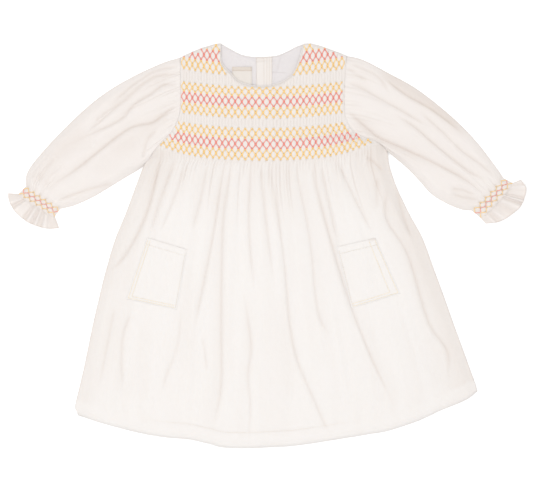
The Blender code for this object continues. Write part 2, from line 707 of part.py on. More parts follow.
def make_pocket(name, corners, front):
    """A patch pocket on the front: its underside clears the highest place near each of its points."""
    count = 9
    fine = 3
    share = np.linspace(0, 1, (count - 1) * fine + 1)
    down, over = np.meshgrid(share, share, indexing="ij")
    outer_top, inner_top, inner_foot, outer_foot = (np.array(c) for c in corners)
    plan = (
        (1 - down)[..., None] * ((1 - over)[..., None] * outer_top + over[..., None] * inner_top)
        + down[..., None] * ((1 - over)[..., None] * outer_foot + over[..., None] * inner_foot)
    )
    under = surface_height(front)(plan[..., 0], plan[..., 1])
    padded = np.pad(under, fine, mode="edge")
    windows = np.lib.stride_tricks.sliding_window_view(padded, (2 * fine + 1, 2 * fine + 1))
    low = windows.max(axis=(2, 3))[::fine, ::fine] + SEAM
    x, y = plan[::fine, ::fine, 0], plan[::fine, ::fine, 1]
    hem = POCKET_HEM * (np.arange(count) < 2)[:, None]
    return wall_mesh(
        name,
        np.stack([x, y, low + POCKET_WALL + hem], axis=2),
        np.stack([x, y, low], axis=2),
    )


def make_button(name, height_on_back, collection, cutters):
    """A flat round button with a raised rim and four holes, lying on its face."""
    middle = OPENING_X + STAND_WIDTH / 2
    profile = (
        (0.0, 0.0), (BUTTON_RADIUS - 1.6, 0.0), (BUTTON_RADIUS - 1.2, -0.4),
        (BUTTON_RADIUS - 0.5, -0.4), (BUTTON_RADIUS, 0.1), (BUTTON_RADIUS - 0.3, 1.5), (0.0, 1.5),
    )
    shape = bmesh.new()
    ring = [shape.verts.new((r * MM, 0, (z + 0.4) * MM)) for r, z in profile]
    edges = [shape.edges.new(pair) for pair in zip(ring, ring[1:])]
    bmesh.ops.spin(
        shape, geom=ring + edges, cent=(0, 0, 0), axis=(0, 0, 1), angle=2 * math.pi, steps=16
    )
    bmesh.ops.remove_doubles(shape, verts=shape.verts, dist=1e-6)
    bmesh.ops.recalc_face_normals(shape, faces=shape.faces)
    mesh = bpy.data.meshes.new(name)
    shape.to_mesh(mesh)
    shape.free()
    shell = cloth_material(name, (0.93, 0.91, 0.86), 0.3)
    button = add_object(name, mesh, shell, collection)
    button.location = (middle * MM, height_on_back * MM, 0)
    holes = bmesh.new()
    for turn in range(4):
        angle = math.pi / 4 + turn * math.pi / 2
        made = bmesh.ops.create_cone(
            holes, cap_ends=True, segments=6, radius1=0.8 * MM, radius2=0.8 * MM, depth=8 * MM
        )
        shift = (1.6 * MM * math.cos(angle), 1.6 * MM * math.sin(angle), 0)
        bmesh.ops.translate(holes, verts=made["verts"], vec=shift)
    hole_mesh = bpy.data.meshes.new(name + "_holes")
    holes.to_mesh(hole_mesh)
    holes.free()
    cutter = bpy.data.objects.new(name + "_holes", hole_mesh)
    cutter.location = button.location
    cutter.hide_render = True
    cutter.display_type = "WIRE"
    cutters.objects.link(cutter)
    cut = button.modifiers.new("Holes", "BOOLEAN")
    cut.operation = "DIFFERENCE"
    cut.object = cutter
    cut.solver = "EXACT"


def main():
    for obj in list(bpy.data.objects):
        bpy.data.objects.remove(obj, do_unlink=True)
    collection = bpy.data.collections.new("toddler_dress")
    cutters = bpy.data.collections.new("cutters")
    bpy.context.scene.collection.children.link(collection)
    bpy.context.scene.collection.children.link(cutters)
    cotton = cloth_material("cream cotton", (0.93, 0.89, 0.85))
    lining = cloth_material("white lining", (0.86, 0.85, 0.89))
    woven = cloth_material("beige woven label", (0.83, 0.77, 0.68))
    finish = {"label": woven, "neck_lining_right": lining, "neck_lining_left": lining}

    front = make_front()
    meshes = {"front": front, **make_back_pieces(), **make_bindings()}
    for name, size in SLEEVES.items():
        meshes[name] = make_sleeve(name, size)
    for name, corners in POCKETS.items():
        meshes[name] = make_pocket(name, corners, front)
    for name, mesh in meshes.items():
        add_object(name, mesh, finish.get(name, cotton), collection)
    for number, height in enumerate(BUTTONS, start=1):
        make_button(f"button_{number}", height, collection, cutters)


main()
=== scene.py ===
"""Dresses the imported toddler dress: fine cloth, smocking threads, stitching, buttons and a stage.

Sizes are in millimetres and become metres where a mesh is made. +X is the wearer's left,
+Y runs from hem to neck and +Z is up. Every cloth piece is a surface of two parameters,
worked out as whole arrays, and stands in the place of its plain CAD solid.
"""

import math

import bmesh
import bpy
import numpy as np
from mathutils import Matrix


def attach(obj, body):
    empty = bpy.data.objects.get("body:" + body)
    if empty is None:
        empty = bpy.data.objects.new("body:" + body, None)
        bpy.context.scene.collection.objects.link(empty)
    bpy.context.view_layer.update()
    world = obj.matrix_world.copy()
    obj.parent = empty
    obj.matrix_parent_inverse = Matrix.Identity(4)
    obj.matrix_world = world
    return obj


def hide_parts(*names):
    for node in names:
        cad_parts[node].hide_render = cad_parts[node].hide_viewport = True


bl_info = {
    "name": "Smocked Toddler Dress",
    "version": (1, 0, 0),
    "blender": (4, 5, 0),
    "location": "View3D > Sidebar > Dress",
    "description": "Cloth, smocking, stitching and stage for a smocked toddler dress laid flat",
    "category": "Object",
}

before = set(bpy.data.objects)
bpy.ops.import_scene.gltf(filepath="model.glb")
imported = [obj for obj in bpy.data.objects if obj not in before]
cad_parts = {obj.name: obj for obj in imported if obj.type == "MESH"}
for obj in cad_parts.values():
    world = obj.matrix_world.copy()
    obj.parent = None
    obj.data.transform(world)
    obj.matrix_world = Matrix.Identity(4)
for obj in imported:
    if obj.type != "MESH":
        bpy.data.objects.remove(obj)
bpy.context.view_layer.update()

MM = 0.001
#   points nearer to each other than this are merged, in metres
MERGE = 2e-5

# The outline of the body: how far it reaches to each side at each height
#   height, right side, left side
BODY_SIDES = (
    (241.0, -109.0, 100.6),
    (215.0, -109.5, 99.2),
    (190.0, -109.2, 98.0),
    (170.0, -110.0, 98.4),
    (157.0, -114.0, 101.8),
    (146.0, -120.0, 109.5),
    (139.0, -126.0, 121.5),
    (133.0, -131.5, 137.0),
    (128.0, -138.0, 145.8),
    (120.0, -143.5, 152.5),
    (110.0, -150.5, 154.0),
    (100.0, -156.6, 155.8),
    (73.0, -167.0, 165.0),
    (39.0, -179.6, 181.3),
    (9.0, -192.0, 197.5),
    (-29.0, -203.5, 211.5),
    (-64.0, -212.2, 224.4),
    (-102.0, -221.0, 237.8),
    (-152.0, -231.3, 256.0),
    (-185.0, -239.0, 267.2),
    (-205.0, -243.2, 268.0),
    (-216.0, -239.5, 268.0),
    (-258.0, -239.5, 268.0),
)

# Lines drawn through (x, y) points
HEM = (
    (-239.5, -215.0), (-217.0, -222.3), (-187.0, -231.0), (-155.0, -238.5),
    (-129.0, -242.8), (-99.0, -245.5), (-74.0, -251.0), (-56.0, -255.6),
    (-29.0, -256.7), (1.0, -255.4), (30.0, -253.8), (60.0, -250.0),
    (92.0, -244.8), (130.0, -238.6), (153.0, -234.5), (190.0, -222.3),
    (220.0, -208.8), (250.0, -196.0), (267.2, -184.6),
)
RIGHT_SHOULDER = ((-109.0, 239.2), (-96.8, 245.0), (-83.8, 250.3), (-65.8, 255.7))
LEFT_SHOULDER = ((54.9, 256.7), (67.6, 253.4), (84.1, 247.5), (100.6, 241.1))
FRONT_NECK = (
    (-57.5, 256.5), (-57.9, 248.0), (-56.3, 232.2), (-45.0, 219.1), (-35.3, 209.4),
    (-22.2, 204.7), (-6.1, 202.6), (10.2, 205.4), (23.1, 211.1), (34.4, 220.8),
    (40.1, 235.4), (44.2, 249.0), (46.6, 256.5),
)
BACK_NECK = (
    (-57.5, 256.5), (-45.0, 249.1), (-32.0, 242.6), (-15.7, 240.0),
    (10.2, 241.1), (26.3, 247.0), (35.8, 252.2), (46.6, 256.5),
)

# Smocking: pleats across the chest and a few beyond it, pulled together in bands of zigzag thread
PLEATS = 52
EXTRA_PLEATS = 12
PLEAT_PULL = 0.37
WAVE_ROUNDNESS = 0.8
SMOCK_MIDDLE = -5.0
SMOCK_HALF_WIDTH = 103.5
MIDDLE_DENSITY = 0.858
SIDE_DENSITY = 1.08
#   the thread levels down the front: height at the middle, extra height at the chest's sides
#   and extra height beyond them
LEVELS = (
    (258.7, 10.0, 0.0),
    (251.4, 10.0, 0.0),
    (244.1, 10.0, 0.0),
    (236.8, 10.0, 0.0),
    (229.5, 10.0, 0.0),
    (222.2, 10.0, 0.0),
    (214.9, 10.0, 0.0),
    (209.0, 8.6, 0.0),
    (200.8, 7.3, 0.0),
    (194.9, 7.3, 0.0),
    (188.7, 7.3, 0.0),
    (182.1, 7.3, 0.0),
    (175.4, 7.3, 0.0),
    (168.6, 7.3, 0.0),
    (161.7, 7.3, 0.0),
    (155.2, 7.3, 1.5),
    (148.7, 7.3, 3.0),
    (142.0, 7.3, 4.0),
    (135.2, 7.3, 5.0),
    (128.5, 7.3, 6.0),
    (121.8, 7.3, 7.0),
    (115.0, 7.3, 8.0),
    (108.3, 7.3, 9.0),
)
#   bands of smocking: first level, last level
BANDS = ((0, 6), (8, 14), (16, 22))
#   colour of the thread that zigzags below each level of a band, from its top
BAND_THREADS = ("yellow", "yellow", "red", "red", "yellow", "yellow")
CUFF_THREADS = ("yellow", "red", "yellow")

#   height in the middle of the last band, and how far apart the levels would be below it
RELEASE_TOP = 108.0
LEVEL_STEP = 7.0

# Heights of the front cloth above the floor, and its shares at the top and side edges
SMOCK_INSIDE = 2.8
PLEAT_FLOOR = 2.2
PLEAT_HEIGHT = 3.0
TOP_SHARE = 0.1
EDGE_SHARE = 0.7
SKIRT_INSIDE = 1.9
SKIRT_VALLEY_WALL = 1.7
SKIRT_INSIDE_LIFT = 3.5
SKIRT_OUTSIDE_LIFT = 4.7
SKIRT_THINNEST = 0.8
SIDE_ROLL = 16.0
SKIRT_FOLD_SHARE = 0.66
HEM_DEPTH = 20.0
HEM_STEP = 0.4
#   about where the hem's stitches lie, to start finding them from
HEM_ABOUT = -230.0
#   share of its height that the skirt has at the very hem, and just above it
HEM_EDGE_SHARE = 0.38
HEM_SHARE = 0.82
#   gathers below the last band: how deep, their shortest and longest length
GATHERS = (1.1, 14, 130)
#   soft ripples of the skirt: height, pleats to a ripple, length, random seed
RIPPLES = ((1.3, 2.6, 150, 7), (0.35, 1.1, 90, 8))

# Painted shade of the front's cloth, 0 to 1: how far its colour is darkened towards its shade colour,
# over the chest, in its valleys and along its top edge, in the skirt's creases, folds, gather lines
# and hem stitch groove, below the gathers, towards the sides and along the side edges;
# UNEVEN_SHADE is a random uneven tone
CHEST_SHADE = 0.19
VALLEY_SHADE = 0.5
NECK_SHADE = 0.15
CREASE_SHADE = 0.24
FOLD_SHADE = 0.10
LINE_SHADE = 0.27
STITCHED_SHADE = 0.05
UNEVEN_SHADE = 0.05
GATHER_SHADE = 0.12
SIDE_SHADE = 0.13
LEFT_SIDE_SHADE = 0.24
SIDE_EDGE_SHADE = 0.14
#   how far the painted shade reaches: down from the last band, in from the sides
GATHER_SHADED = 110.0
SIDE_SHADED = 60.0

# Folds of the skirt: depth, half width, steeper side (-1 right, 1 left), how creased, and the
# line it follows; each shapes the cloth and darkens it with painted shade
SKIRT_FOLDS = (
    (0.9, 9.0, 0.3, 1.0, ((-133, 119), (-151, 44), (-178, -10), (-198, -32))),
    (0.6, 7.0, 0.3, 1.0, ((-115, 109), (-133, 64), (-148, 15))),
    (0.6, 7.0, 0.3, 1.0, ((-102, 103), (-118, 59), (-136, 15))),
    (0.6, 7.0, 0.3, 1.0, ((-76, 103), (-84, 59), (-94, 20))),
    (0.8, 7.5, 0.4, 1.0, ((-56, 95), (-66, 25), (-81, -52), (-91, -102))),
    (0.75, 8.0, 0.4, 1.0, ((-47, 95), (-56, 25), (-58, -99), (-58, -177), (-68, -229))),
    (0.7, 7.0, 0.0, 1.0, ((-20, 101), (-23, 30), (-17, -52))),
    (0.65, 8.5, 0.3, 1.0, ((-29, -62), (-20, -125), (-24, -164), (-21, -202), (-24, -254))),
    (0.6, 6.0, 0.0, 1.0, ((-7, 101), (-4, 57), (9, -47))),
    (0.5, 8.0, 0.0, 1.0, ((-193, -80), (-200, -115), (-212, -177))),
    (0.6, 8.5, 0.3, 1.0, ((-172, -85), (-183, -120), (-183, -189))),
    (0.5, 8.0, 0.0, 1.0, ((-108, -80), (-113, -125), (-125, -159), (-133, -184))),
    (0.5, 7.0, 0.0, 1.0, ((-81, -115), (-76, -159))),
    (0.75, 8.0, -0.3, 1.0, ((4, 103), (21, -10), (33, -125), (66, -210), (83, -244))),
    (0.65, 7.0, -0.3, 1.0, ((35, 106), (54, 10), (64, -80), (78, -112))),
    (0.85, 8.0, -0.4, 1.0, ((54, 106), (83, 0), (108, -80), (134, -145), (160, -200))),
    (0.6, 6.0, 0.0, 1.0, ((68, 103), (80, 49), (90, 2))),
    (0.7, 7.0, -0.3, 1.0, ((90, 106), (108, 67), (134, 15))),
    (0.6, 7.0, 0.0, 1.0, ((126, 114), (148, 95))),
    (0.5, 8.0, 0.0, 1.0, ((139, 87), (139, 47))),
    (0.75, 8.5, -0.4, 1.0, ((153, 75), (151, 35), (178, -10), (205, -97), (228, -132), (230, -172))),
    (0.6, 7.0, 0.0, 1.0, ((163, 75), (173, 39), (183, 10))),
    (0.5, 16.0, 0.0, 0.0, ((-160, 60), (-185, 0), (-205, -60))),
    (0.5, 18.0, 0.0, 0.0, ((-150, -100), (-158, -150), (-165, -200))),
    (0.4, 14.0, 0.0, 0.0, ((-98, -20), (-103, -90), (-108, -160))),
    (0.4, 15.0, 0.0, 0.0, ((120, -95), (140, -150), (170, -205))),
    (0.5, 18.0, 0.0, 0.0, ((175, -80), (200, -140), (220, -195))),
    (0.4, 13.0, 0.0, 0.0, ((20, -60), (26, -130), (30, -200))),
)

# Sleeves: the edges of each as it lies, down to its smocked cuff and round its ruffle
SLEEVES = {
    "sleeve_right": {
        "side": -1,
        # painted shade along the underarm edge, where the sleeve meets the skirt
        "underarm_shade": 0.6,
        "shoulder_edge": (
            (-109.0, 239.2), (-135.6, 230.6), (-176.8, 211.0), (-215.8, 185.9),
            (-257.8, 147.8), (-291.8, 110.6), (-304.5, 91.2), (-305.8, 75.5),
        ),
        "underarm_edge": (
            (-139.0, 128.8), (-147.6, 114.6), (-157.0, 101.4), (-186.4, 82.5),
            (-218.9, 62.8), (-241.7, 52.3), (-253.7, 48.7), (-262.2, 47.0),
        ),
        "cuff_end": ((-315.0, 65.7), (-269.1, 37.1)),
        "ruffle_end": (
            (-328.3, 66.7), (-326.6, 57.1), (-319.4, 44.1), (-304.8, 31.2),
            (-290.2, 24.7), (-277.2, 21.8), (-263.5, 22.7),
        ),
        "folds": (
            (0.8, 6.0, 0.3, 1.0, (
                (-113, 203), (-130, 204), (-145, 194), (-169, 178), (-184, 161), (-209, 148), (-254, 127),
            )),
            (1.0, 8.0, 0.3, 1.0, (
                (-113, 180), (-131, 166), (-146, 156), (-169, 151), (-193, 136), (-238, 100), (-285, 68),
            )),
            (0.6, 5.0, 0.2, 1.0, ((-111, 227), (-140, 222), (-170, 203), (-196, 180))),
            (0.6, 5.0, 0.2, 1.0, ((-111, 217), (-143, 214), (-172, 192), (-211, 158), (-231, 141))),
            (0.6, 6.0, 0.0, 1.0, ((-169, 191), (-187, 180), (-209, 165), (-219, 156))),
            (0.6, 12.0, 0.0, 0.0, ((-205, 196), (-232, 175), (-262, 142))),
            (0.5, 12.0, 0.0, 0.0, ((-215, 132), (-242, 128), (-272, 112))),
            (0.5, 14.0, 0.0, 0.0, ((-160, 133), (-190, 115), (-225, 92))),
            (0.7, 6.0, 0.0, 1.0, ((-193, 80), (-217, 74), (-248, 64), (-265, 57))),
            (0.6, 6.0, 0.0, 1.0, ((-139, 148), (-150, 136), (-155, 121), (-157, 109))),
            (0.4, 4.0, 0.0, 0.5, ((-266, 113), (-280, 97), (-291, 80))),
            (0.4, 4.0, 0.0, 0.5, ((-258, 103), (-275, 88), (-284, 72))),
            (0.3, 4.0, 0.0, 0.5, ((-246, 94), (-269, 84), (-283, 71))),
        ),
        # bands of painted shadow, with the columns of the folds: depth, half width, steeper side, how
        # creased and the line each follows
        "shadows": (
            (0.5, 12.0, 0.0, 0.0, ((-225, 150), (-255, 128), (-285, 95), (-296, 78))),
            (0.4, 9.0, 0.0, 0.0, ((-120, 221), (-165, 200), (-205, 172))),
            (0.4, 10.0, 0.0, 0.0, ((-120, 165), (-160, 140), (-205, 118))),
        ),
    },
    "sleeve_left": {
        "side": 1,
        # painted shade along the underarm edge, where the sleeve meets the skirt
        "underarm_shade": 0.2,
        "shoulder_edge": (
            (100.6, 241.1), (122.7, 235.6), (155.4, 218.5), (191.4, 198.1),
            (233.7, 164.5), (264.9, 133.3), (291.5, 98.9), (300.5, 85.6),
        ),
        "underarm_edge": (
            (152.0, 121.5), (162.6, 112.2), (178.9, 98.1), (194.6, 81.6),
            (208.7, 66.0), (229.0, 53.5), (247.9, 46.0), (259.8, 44.9),
        ),
        "cuff_end": ((312.0, 79.6), (271.5, 35.4)),
        "ruffle_end": (
            (322.2, 84.0), (328.2, 74.7), (327.9, 65.8), (322.1, 50.6),
            (310.1, 39.4), (294.9, 30.8), (277.7, 28.2),
        ),
        "folds": (
            (1.0, 8.0, -0.3, 1.0, (
                (101, 172), (118, 157), (141, 138), (163, 128), (204, 109), (245, 88), (271, 70),
            )),
            (0.5, 12.0, 0.0, 0.0, ((135, 228), (170, 209), (205, 185), (240, 158), (262, 138))),
            (0.9, 7.0, -0.5, 1.0, (
                (147, 214), (163, 201), (182, 188), (204, 176), (220, 165), (236, 153), (249, 141),
            )),
            (0.6, 6.0, 0.0, 1.0, ((106, 230), (118, 226), (131, 220), (144, 211), (156, 192))),
            (0.7, 6.0, -0.2, 1.0, ((101, 207), (118, 201), (141, 188), (163, 176), (185, 163), (207, 150))),
            (0.8, 7.0, -0.3, 1.0, ((163, 166), (188, 150), (210, 131), (233, 112), (258, 93), (277, 84))),
            (0.6, 5.0, 0.0, 1.0, ((233, 134), (249, 119), (271, 103), (290, 87))),
            (0.6, 6.0, 0.0, 1.0, ((195, 169), (220, 147), (239, 128))),
            (0.5, 5.0, 0.0, 1.0, ((236, 65), (252, 61), (271, 58))),
            (0.5, 5.0, 0.0, 1.0, ((233, 72), (247, 71), (264, 64))),
            (0.5, 6.0, 0.0, 1.0, ((101, 226), (127, 208))),
        ),
        # bands of painted shadow, with the columns of the folds: depth, half width, steeper side, how
        # creased and the line each follows
        "shadows": (
            (1.0, 8.0, 0.0, 0.0, (
                (140, 223), (163, 209), (182, 196), (204, 182), (220, 170), (236, 158), (255, 139),
            )),
            (0.5, 10.0, 0.0, 0.0, ((106, 160), (130, 140), (160, 122), (200, 100))),
            (0.4, 10.0, 0.0, 0.0, ((230, 70), (250, 60), (268, 56))),
        ),
    },
}
SLEEVE_PLEATS = 12
CUFF_LEVELS = 4
#   rows of its grid down to the cuff, over the cuff and down the ruffle
SLEEVE_ROWS = 112
CUFF_ROWS = 36
RUFFLE_ROWS = 24
COLUMNS_A_SLEEVE_PLEAT = 12
#   height of the armhole's edge, and how far the sleeve stands off the front there
ARMHOLE_HEIGHT = 7.15
ARMHOLE_SEAM = -0.3
SLEEVE_EDGE = 1.9
SLEEVE_VALLEY = 3.5
SLEEVE_LIFT = 4.6
SLEEVE_ROLL = 13.0
SLEEVE_WALL = 0.5
#   how deep the folds and gathers of a sleeve are, as shares of its lift
SLEEVE_FOLD_SHARE = 0.66
CAP_GATHERS = 0.16
WRIST_GATHERS = 0.15
#   soft unevenness of a sleeve: share of its lift, waves across, waves down, random seed
SLEEVE_RIPPLES = ((0.18, 5, 1.7, 0), (0.10, 11, 2.6, 7))
#   painted shade of its cloth, 0 to 1: how far its colour is darkened over the whole sleeve, in its creases,
#   folds, shadow bands, cap and wrist gathers, cuff valleys and flutes, and along its edges and brim
SLEEVE_SHADE = 0.04
SLEEVE_CREASE_SHADE = 0.26
SLEEVE_FOLD_SHADE = 0.12
SHADOW_SHADE = 0.25
CAP_SHADE = 0.18
WRIST_SHADE = 0.10
RUFFLE_SHADE = 0.06
FLUTE_SHADE = 0.22
SLEEVE_EDGE_SHADE = 0.18
BRIM_SHADE = 0.25

# Patch pockets, by their corners: outer and inner at the top, then inner and outer at the foot
POCKETS = {
    "pocket_right": ((-151.5, 10.6), (-100.7, -4.6), (-114.0, -80.8), (-178.2, -67.5)),
    "pocket_left": ((137.4, 10.0), (88.5, -1.3), (107.3, -79.2), (168.8, -60.3)),
}
#   how far each pocket's second row of stitches lies from its outer side
POCKET_STRIPS = {"pocket_right": 5.0, "pocket_left": 9.0}
POCKET_EDGE = 1.8
POCKET_FOOT = 5.0
POCKET_WALL = 1.3
POCKET_HEM = 9.0
POCKET_STEPS = 120
#   painted shade of a pocket: its shadow along the mouth, the shade in the folded notch beside it and in the
#   grooves along its stitches
POCKET_SHADES = (0.10, 0.35, 0.03)

# The back: an opening under a button stand, from the neck to the yoke seam
SEAM = 0.3
BACK_WALL = 1.6
YOKE_WALL = 1.2
LINING_WALL = 1.0
LABEL_WALL = 0.6
OPENING_X = -13.3
STAND_WIDTH = 20.0
#   sewn lines of the stand: down it, by their distance from the opening, and across its top
STAND_LINES = (9.7, 13.4, 16.6)
STAND_CROSS_LINES = (237.3, 233.5)
# painted shade in the grooves of the stand's sewn lines and along its edges
STAND_SHADE = 0.28
STAND_RISE = 0.5
YOKE_SEAM = 104.0
FACING_DEPTH = 46.0
BUTTONS = (224.0, 182.0, 140.0)
#   how high the buttons lift the cloth on them, and where that starts and ends: across from
#   the stand's middle, at its foot and at its top
BUTTON_LIFT = 2.2
LIFT_ACROSS = (7, 20)
LIFT_FOOT = (112, 128)
LIFT_TOP = (231, 239)
#   how far the back's yokes and the linings reach to each side, and where the neck is deepest behind
BACK_SIDES = (-109.0, 100.6)
LINING_SIDES = (-92.0, 84.0)
NECK_BACK = 240.0
#   a point of the linings' seam and one of their crease
LINING_SEAM = (7, 220.5)
LINING_CREASE = (15.5, 232)
#   right side, left side, foot and top of the label, and the depth of its folded strip
LABEL = (-44.0, -19.0, 199.0, 227.0)
LABEL_FOLD = 5.0
#   how high the label lifts the front, and how far beyond its edges the lift starts and ends
LABEL_LIFT = 0.9
LABEL_NEAR = 2
LABEL_FAR = 10
BINDING_WIDTH = 3.0
BINDING_SHOWS = 1.0
BINDING_HEIGHT = 2.5
FRONT_BINDING_HEIGHT = 1.7
# painted shade: the whole binding is darkened by BINDING_SHADE, and the linings and the stand along the back
# neck's edge by NECK_EDGE_SHADE
BINDING_SHADE = 0.1
NECK_EDGE_SHADE = 0.35
#   soft folds of the cloth under the dress: height, width at the yoke's seam, length, random seed
BACK_FOLD = (0.35, 14, 130, 31)

# Threads: how far cloth is felt to each side of them, and how far they lie above it at least
THREAD_REST = 0.3
THREAD_LIFT = 0.02
CUFF_THREAD_LIFT = 0.18
KNOT_LIFT = 0.1
STITCH_LIFT = 0.1
#   sewing: distance between stitches, length, width
HEM_STITCH = (3.0, 2.2, 0.6)
POCKET_STITCH = (2.6, 2.1, 0.85)

# Folds: width of the line of painted shade along one, and a sharp cusp's width and depth as shares of its
# own
CREASE_WIDTH = 2.0
CUSP_WIDTH = 0.33
CUSP_SHARE = 0.55

# Fineness of the meshes
COLUMNS_A_PLEAT = 8
CHEST_ROWS = 132
CHEST_TOP = 257.0
CHEST_FOOT = 102.0
SHORTEST_CELL = 0.6
SKIRT_ROWS = 88
YOKE_ROWS = 100
YOKE_COLUMNS = 160
BACK_ROWS = 180
BACK_COLUMNS = 240
NECK_ROWS = 160
NECK_COLUMNS = 80
#   steps of the inner grid of a shell, in steps of its outer one
INSIDE_STEP = 4

# Finishes: the settings that colour each cloth, its faint threads and the painted shade of its creases,
# folds and edges
CLOTHS = {
    "cream_cotton": ("cotton", "cotton_tint", "crease_shade"),
    # the sleeves' copy of the cotton is warmer: painted warm shade and light on the sleeves
    "sleeve_cotton_warm_shade": ("sleeve", "sleeve", "crease_shade"),
    "double_cotton": ("double_cotton", "cotton", "crease_shade"),
    # the button stand's copy of the cotton is darker: painted shade inside the neck
    "placket_cotton_in_shade": ("placket", "placket", "crease_shade"),
    # the lining is its own greyer white, darkened as painted shade inside the neck
    "white_lining_in_shade": ("lining", "lining_tint", "lining_shade"),
    "woven_label": ("label", "label", "label_fold_and_shade"),
}
#   and each thread and the painted shade between its plies
THREADS = {
    "yellow_thread": ("yellow", "yellow_ply_shade"),
    "coral_thread": ("red", "red_ply_shade"),
    "cream_thread": ("sewing", "sewing_ply_shade"),
    "tan_thread": ("pocket_sewing", "pocket_sewing_ply_shade"),
}
SMOCKING_THREADS = {"yellow": "yellow_thread", "red": "coral_thread"}
PEARL = (0.86, 0.83, 0.77)
PEARL_SHADE = (0.74, 0.70, 0.64)
#   distances in millimetres: between threads of the weave, slubs, turns of a thread, pearly clouds
WEAVE = 0.45
SLUB = 5.0
TWIST = 0.6
PEARL_CLOUD = 4.0

# The stage: what the camera sees, in metres, and the lights' places and sizes
VIEW_WIDTH = 0.6769
VIEW_CENTRE = (-0.0004, -0.0072)
LIGHTS = (
    ("key", (-0.4, -0.3, 2.1), 1.0),
    ("fill", (0.6, 0.85, 2.0), 1.6),
)
FLOOR_REACH = 1500.0
FLOOR_HEIGHT = -0.4


# ---------------------------------------------------------------- plain helpers


def smooth(low, high, value):
    """0 below low, 1 above high, and an even S between."""
    share = np.clip((value - low) / (high - low), 0.0, 1.0)
    return share * share * (3.0 - 2.0 * share)


def curve_through(points, per_span=10):
    """A Catmull-Rom curve through the points, per_span steps from each to the next."""
    knots = np.asarray(points, float)
    ends = np.vstack([2 * knots[0] - knots[1], knots, 2 * knots[-1] - knots[-2]])
    share = np.linspace(0, 1, per_span, endpoint=False)[:, None]
    spans = []
    for a, b, c, d in zip(ends, ends[1:], ends[2:], ends[3:]):
        spans.append(
            b
            + 0.5 * share * (c - a)
            + share**2 * (a - 2.5 * b + 2 * c - 0.5 * d)
            + share**3 * (-0.5 * a + 1.5 * b - 1.5 * c + 0.5 * d)
        )
    return np.vstack(spans + [knots[-1:]])


def distances(line):
    """How far along a line each of its points lies."""
    steps = np.linalg.norm(np.diff(line, axis=0), axis=1)
    return np.concatenate([[0], np.cumsum(steps)])


def evenly(points, count):
    """count points at equal steps along a smooth curve through the given ones."""
    line = curve_through(points)
    run = distances(line)
    wanted = np.linspace(0, run[-1], count)
    return np.stack([np.interp(wanted, run, line[:, i]) for i in range(line.shape[1])], axis=1)


def offset_line(points, distance):
    """The curve through the points, moved to its right-hand side by distance."""
    line = evenly(points, 160)
    along = np.gradient(line, axis=0)
    along /= np.linalg.norm(along, axis=1)[:, None]
    return line + distance * np.stack([along[:, 1], -along[:, 0]], axis=1)


SIDE_LINES = curve_through(BODY_SIDES, 6)
HEM_LINE = curve_through(HEM)


def right_side(y):
    """x of the body's right side at any height."""
    return np.interp(-y, -SIDE_LINES[:, 0], SIDE_LINES[:, 1])


def left_side(y):
    """x of the body's left side at any height."""
    return np.interp(-y, -SIDE_LINES[:, 0], SIDE_LINES[:, 2])


def from_sides(x, y):
    """How far from the nearer side of the body each x and y lies."""
    return np.minimum(x - right_side(y), left_side(y) - x)


def hem_height(x):
    """y of the hem at any x."""
    return np.interp(x, HEM_LINE[:, 0], HEM_LINE[:, 1])


def top_edge(neck):
    """y of a panel's top edge at any x: shoulder, neck, shoulder."""
    line = np.vstack([curve_through(RIGHT_SHOULDER), neck, curve_through(LEFT_SHOULDER)])
    rising = np.maximum.accumulate(line[:, 0] + 1e-4 * np.arange(len(line)))
    return lambda x: np.interp(x, rising, line[:, 1])


def fold_troughs(x, y, folds):
    """Depth of the folds and the painted shade along their creases, both 0 to 1, at each x and y.

    Each trough falls off across its line as a wide bell, steeper on one side, with a narrow
    cusp along the line itself, and dies away at both ends.
    """
    depth = np.zeros(np.shape(x))
    crease_shade = np.zeros(np.shape(x))
    for deep, half_width, lean, creased, line in folds:
        knots = curve_through(line, 4)
        nearest = np.full(np.shape(x), np.inf)
        side = np.zeros(np.shape(x))
        along = np.zeros(np.shape(x))
        for i, (start, end) in enumerate(zip(knots, knots[1:])):
            dx, dy = end - start
            share = ((x - start[0]) * dx + (y - start[1]) * dy) / (dx * dx + dy * dy)
            share = np.clip(share, 0, 1)
            off_x = x - start[0] - share * dx
            off_y = y - start[1] - share * dy
            away = np.hypot(off_x, off_y)
            closer = away < nearest
            nearest = np.where(closer, away, nearest)
            side = np.where(closer, np.sign(off_y * dx - off_x * dy), side)
            along = np.where(closer, (i + share) / (len(knots) - 1), along)
        ends = deep * smooth(-0.05, 0.18, along) * smooth(-0.05, 0.22, 1 - along)
        width = half_width * (1 - lean * side)
        bell = line_shade(nearest, width)
        cusp = np.exp(-nearest / (CUSP_WIDTH * width))
        depth = np.maximum(depth, ends * (bell + CUSP_SHARE * creased * (cusp - bell)))
        crease_shade = np.maximum(crease_shade, creased * ends * line_shade(nearest, CREASE_WIDTH))
    return depth, crease_shade


def line_shade(away, width=0.7):
    """1 on a line, falling off beside it as a bell of that half width."""
    return np.exp(-((away / width) ** 2))


def wander(a, b, seed):
    """Smooth unevenness, -1 to 1: random values on a unit grid of a and b, blended with S curves."""
    values = np.random.default_rng(seed).uniform(-1, 1, (64, 64))
    a, b = np.broadcast_arrays(a, b)
    i, j = np.floor(a).astype(int), np.floor(b).astype(int)
    s, t = smooth(0, 1, a - i), smooth(0, 1, b - j)
    low = values[i % 64, j % 64] * (1 - s) + values[(i + 1) % 64, j % 64] * s
    high = values[i % 64, (j + 1) % 64] * (1 - s) + values[(i + 1) % 64, (j + 1) % 64] * s
    return low * (1 - t) + high * t


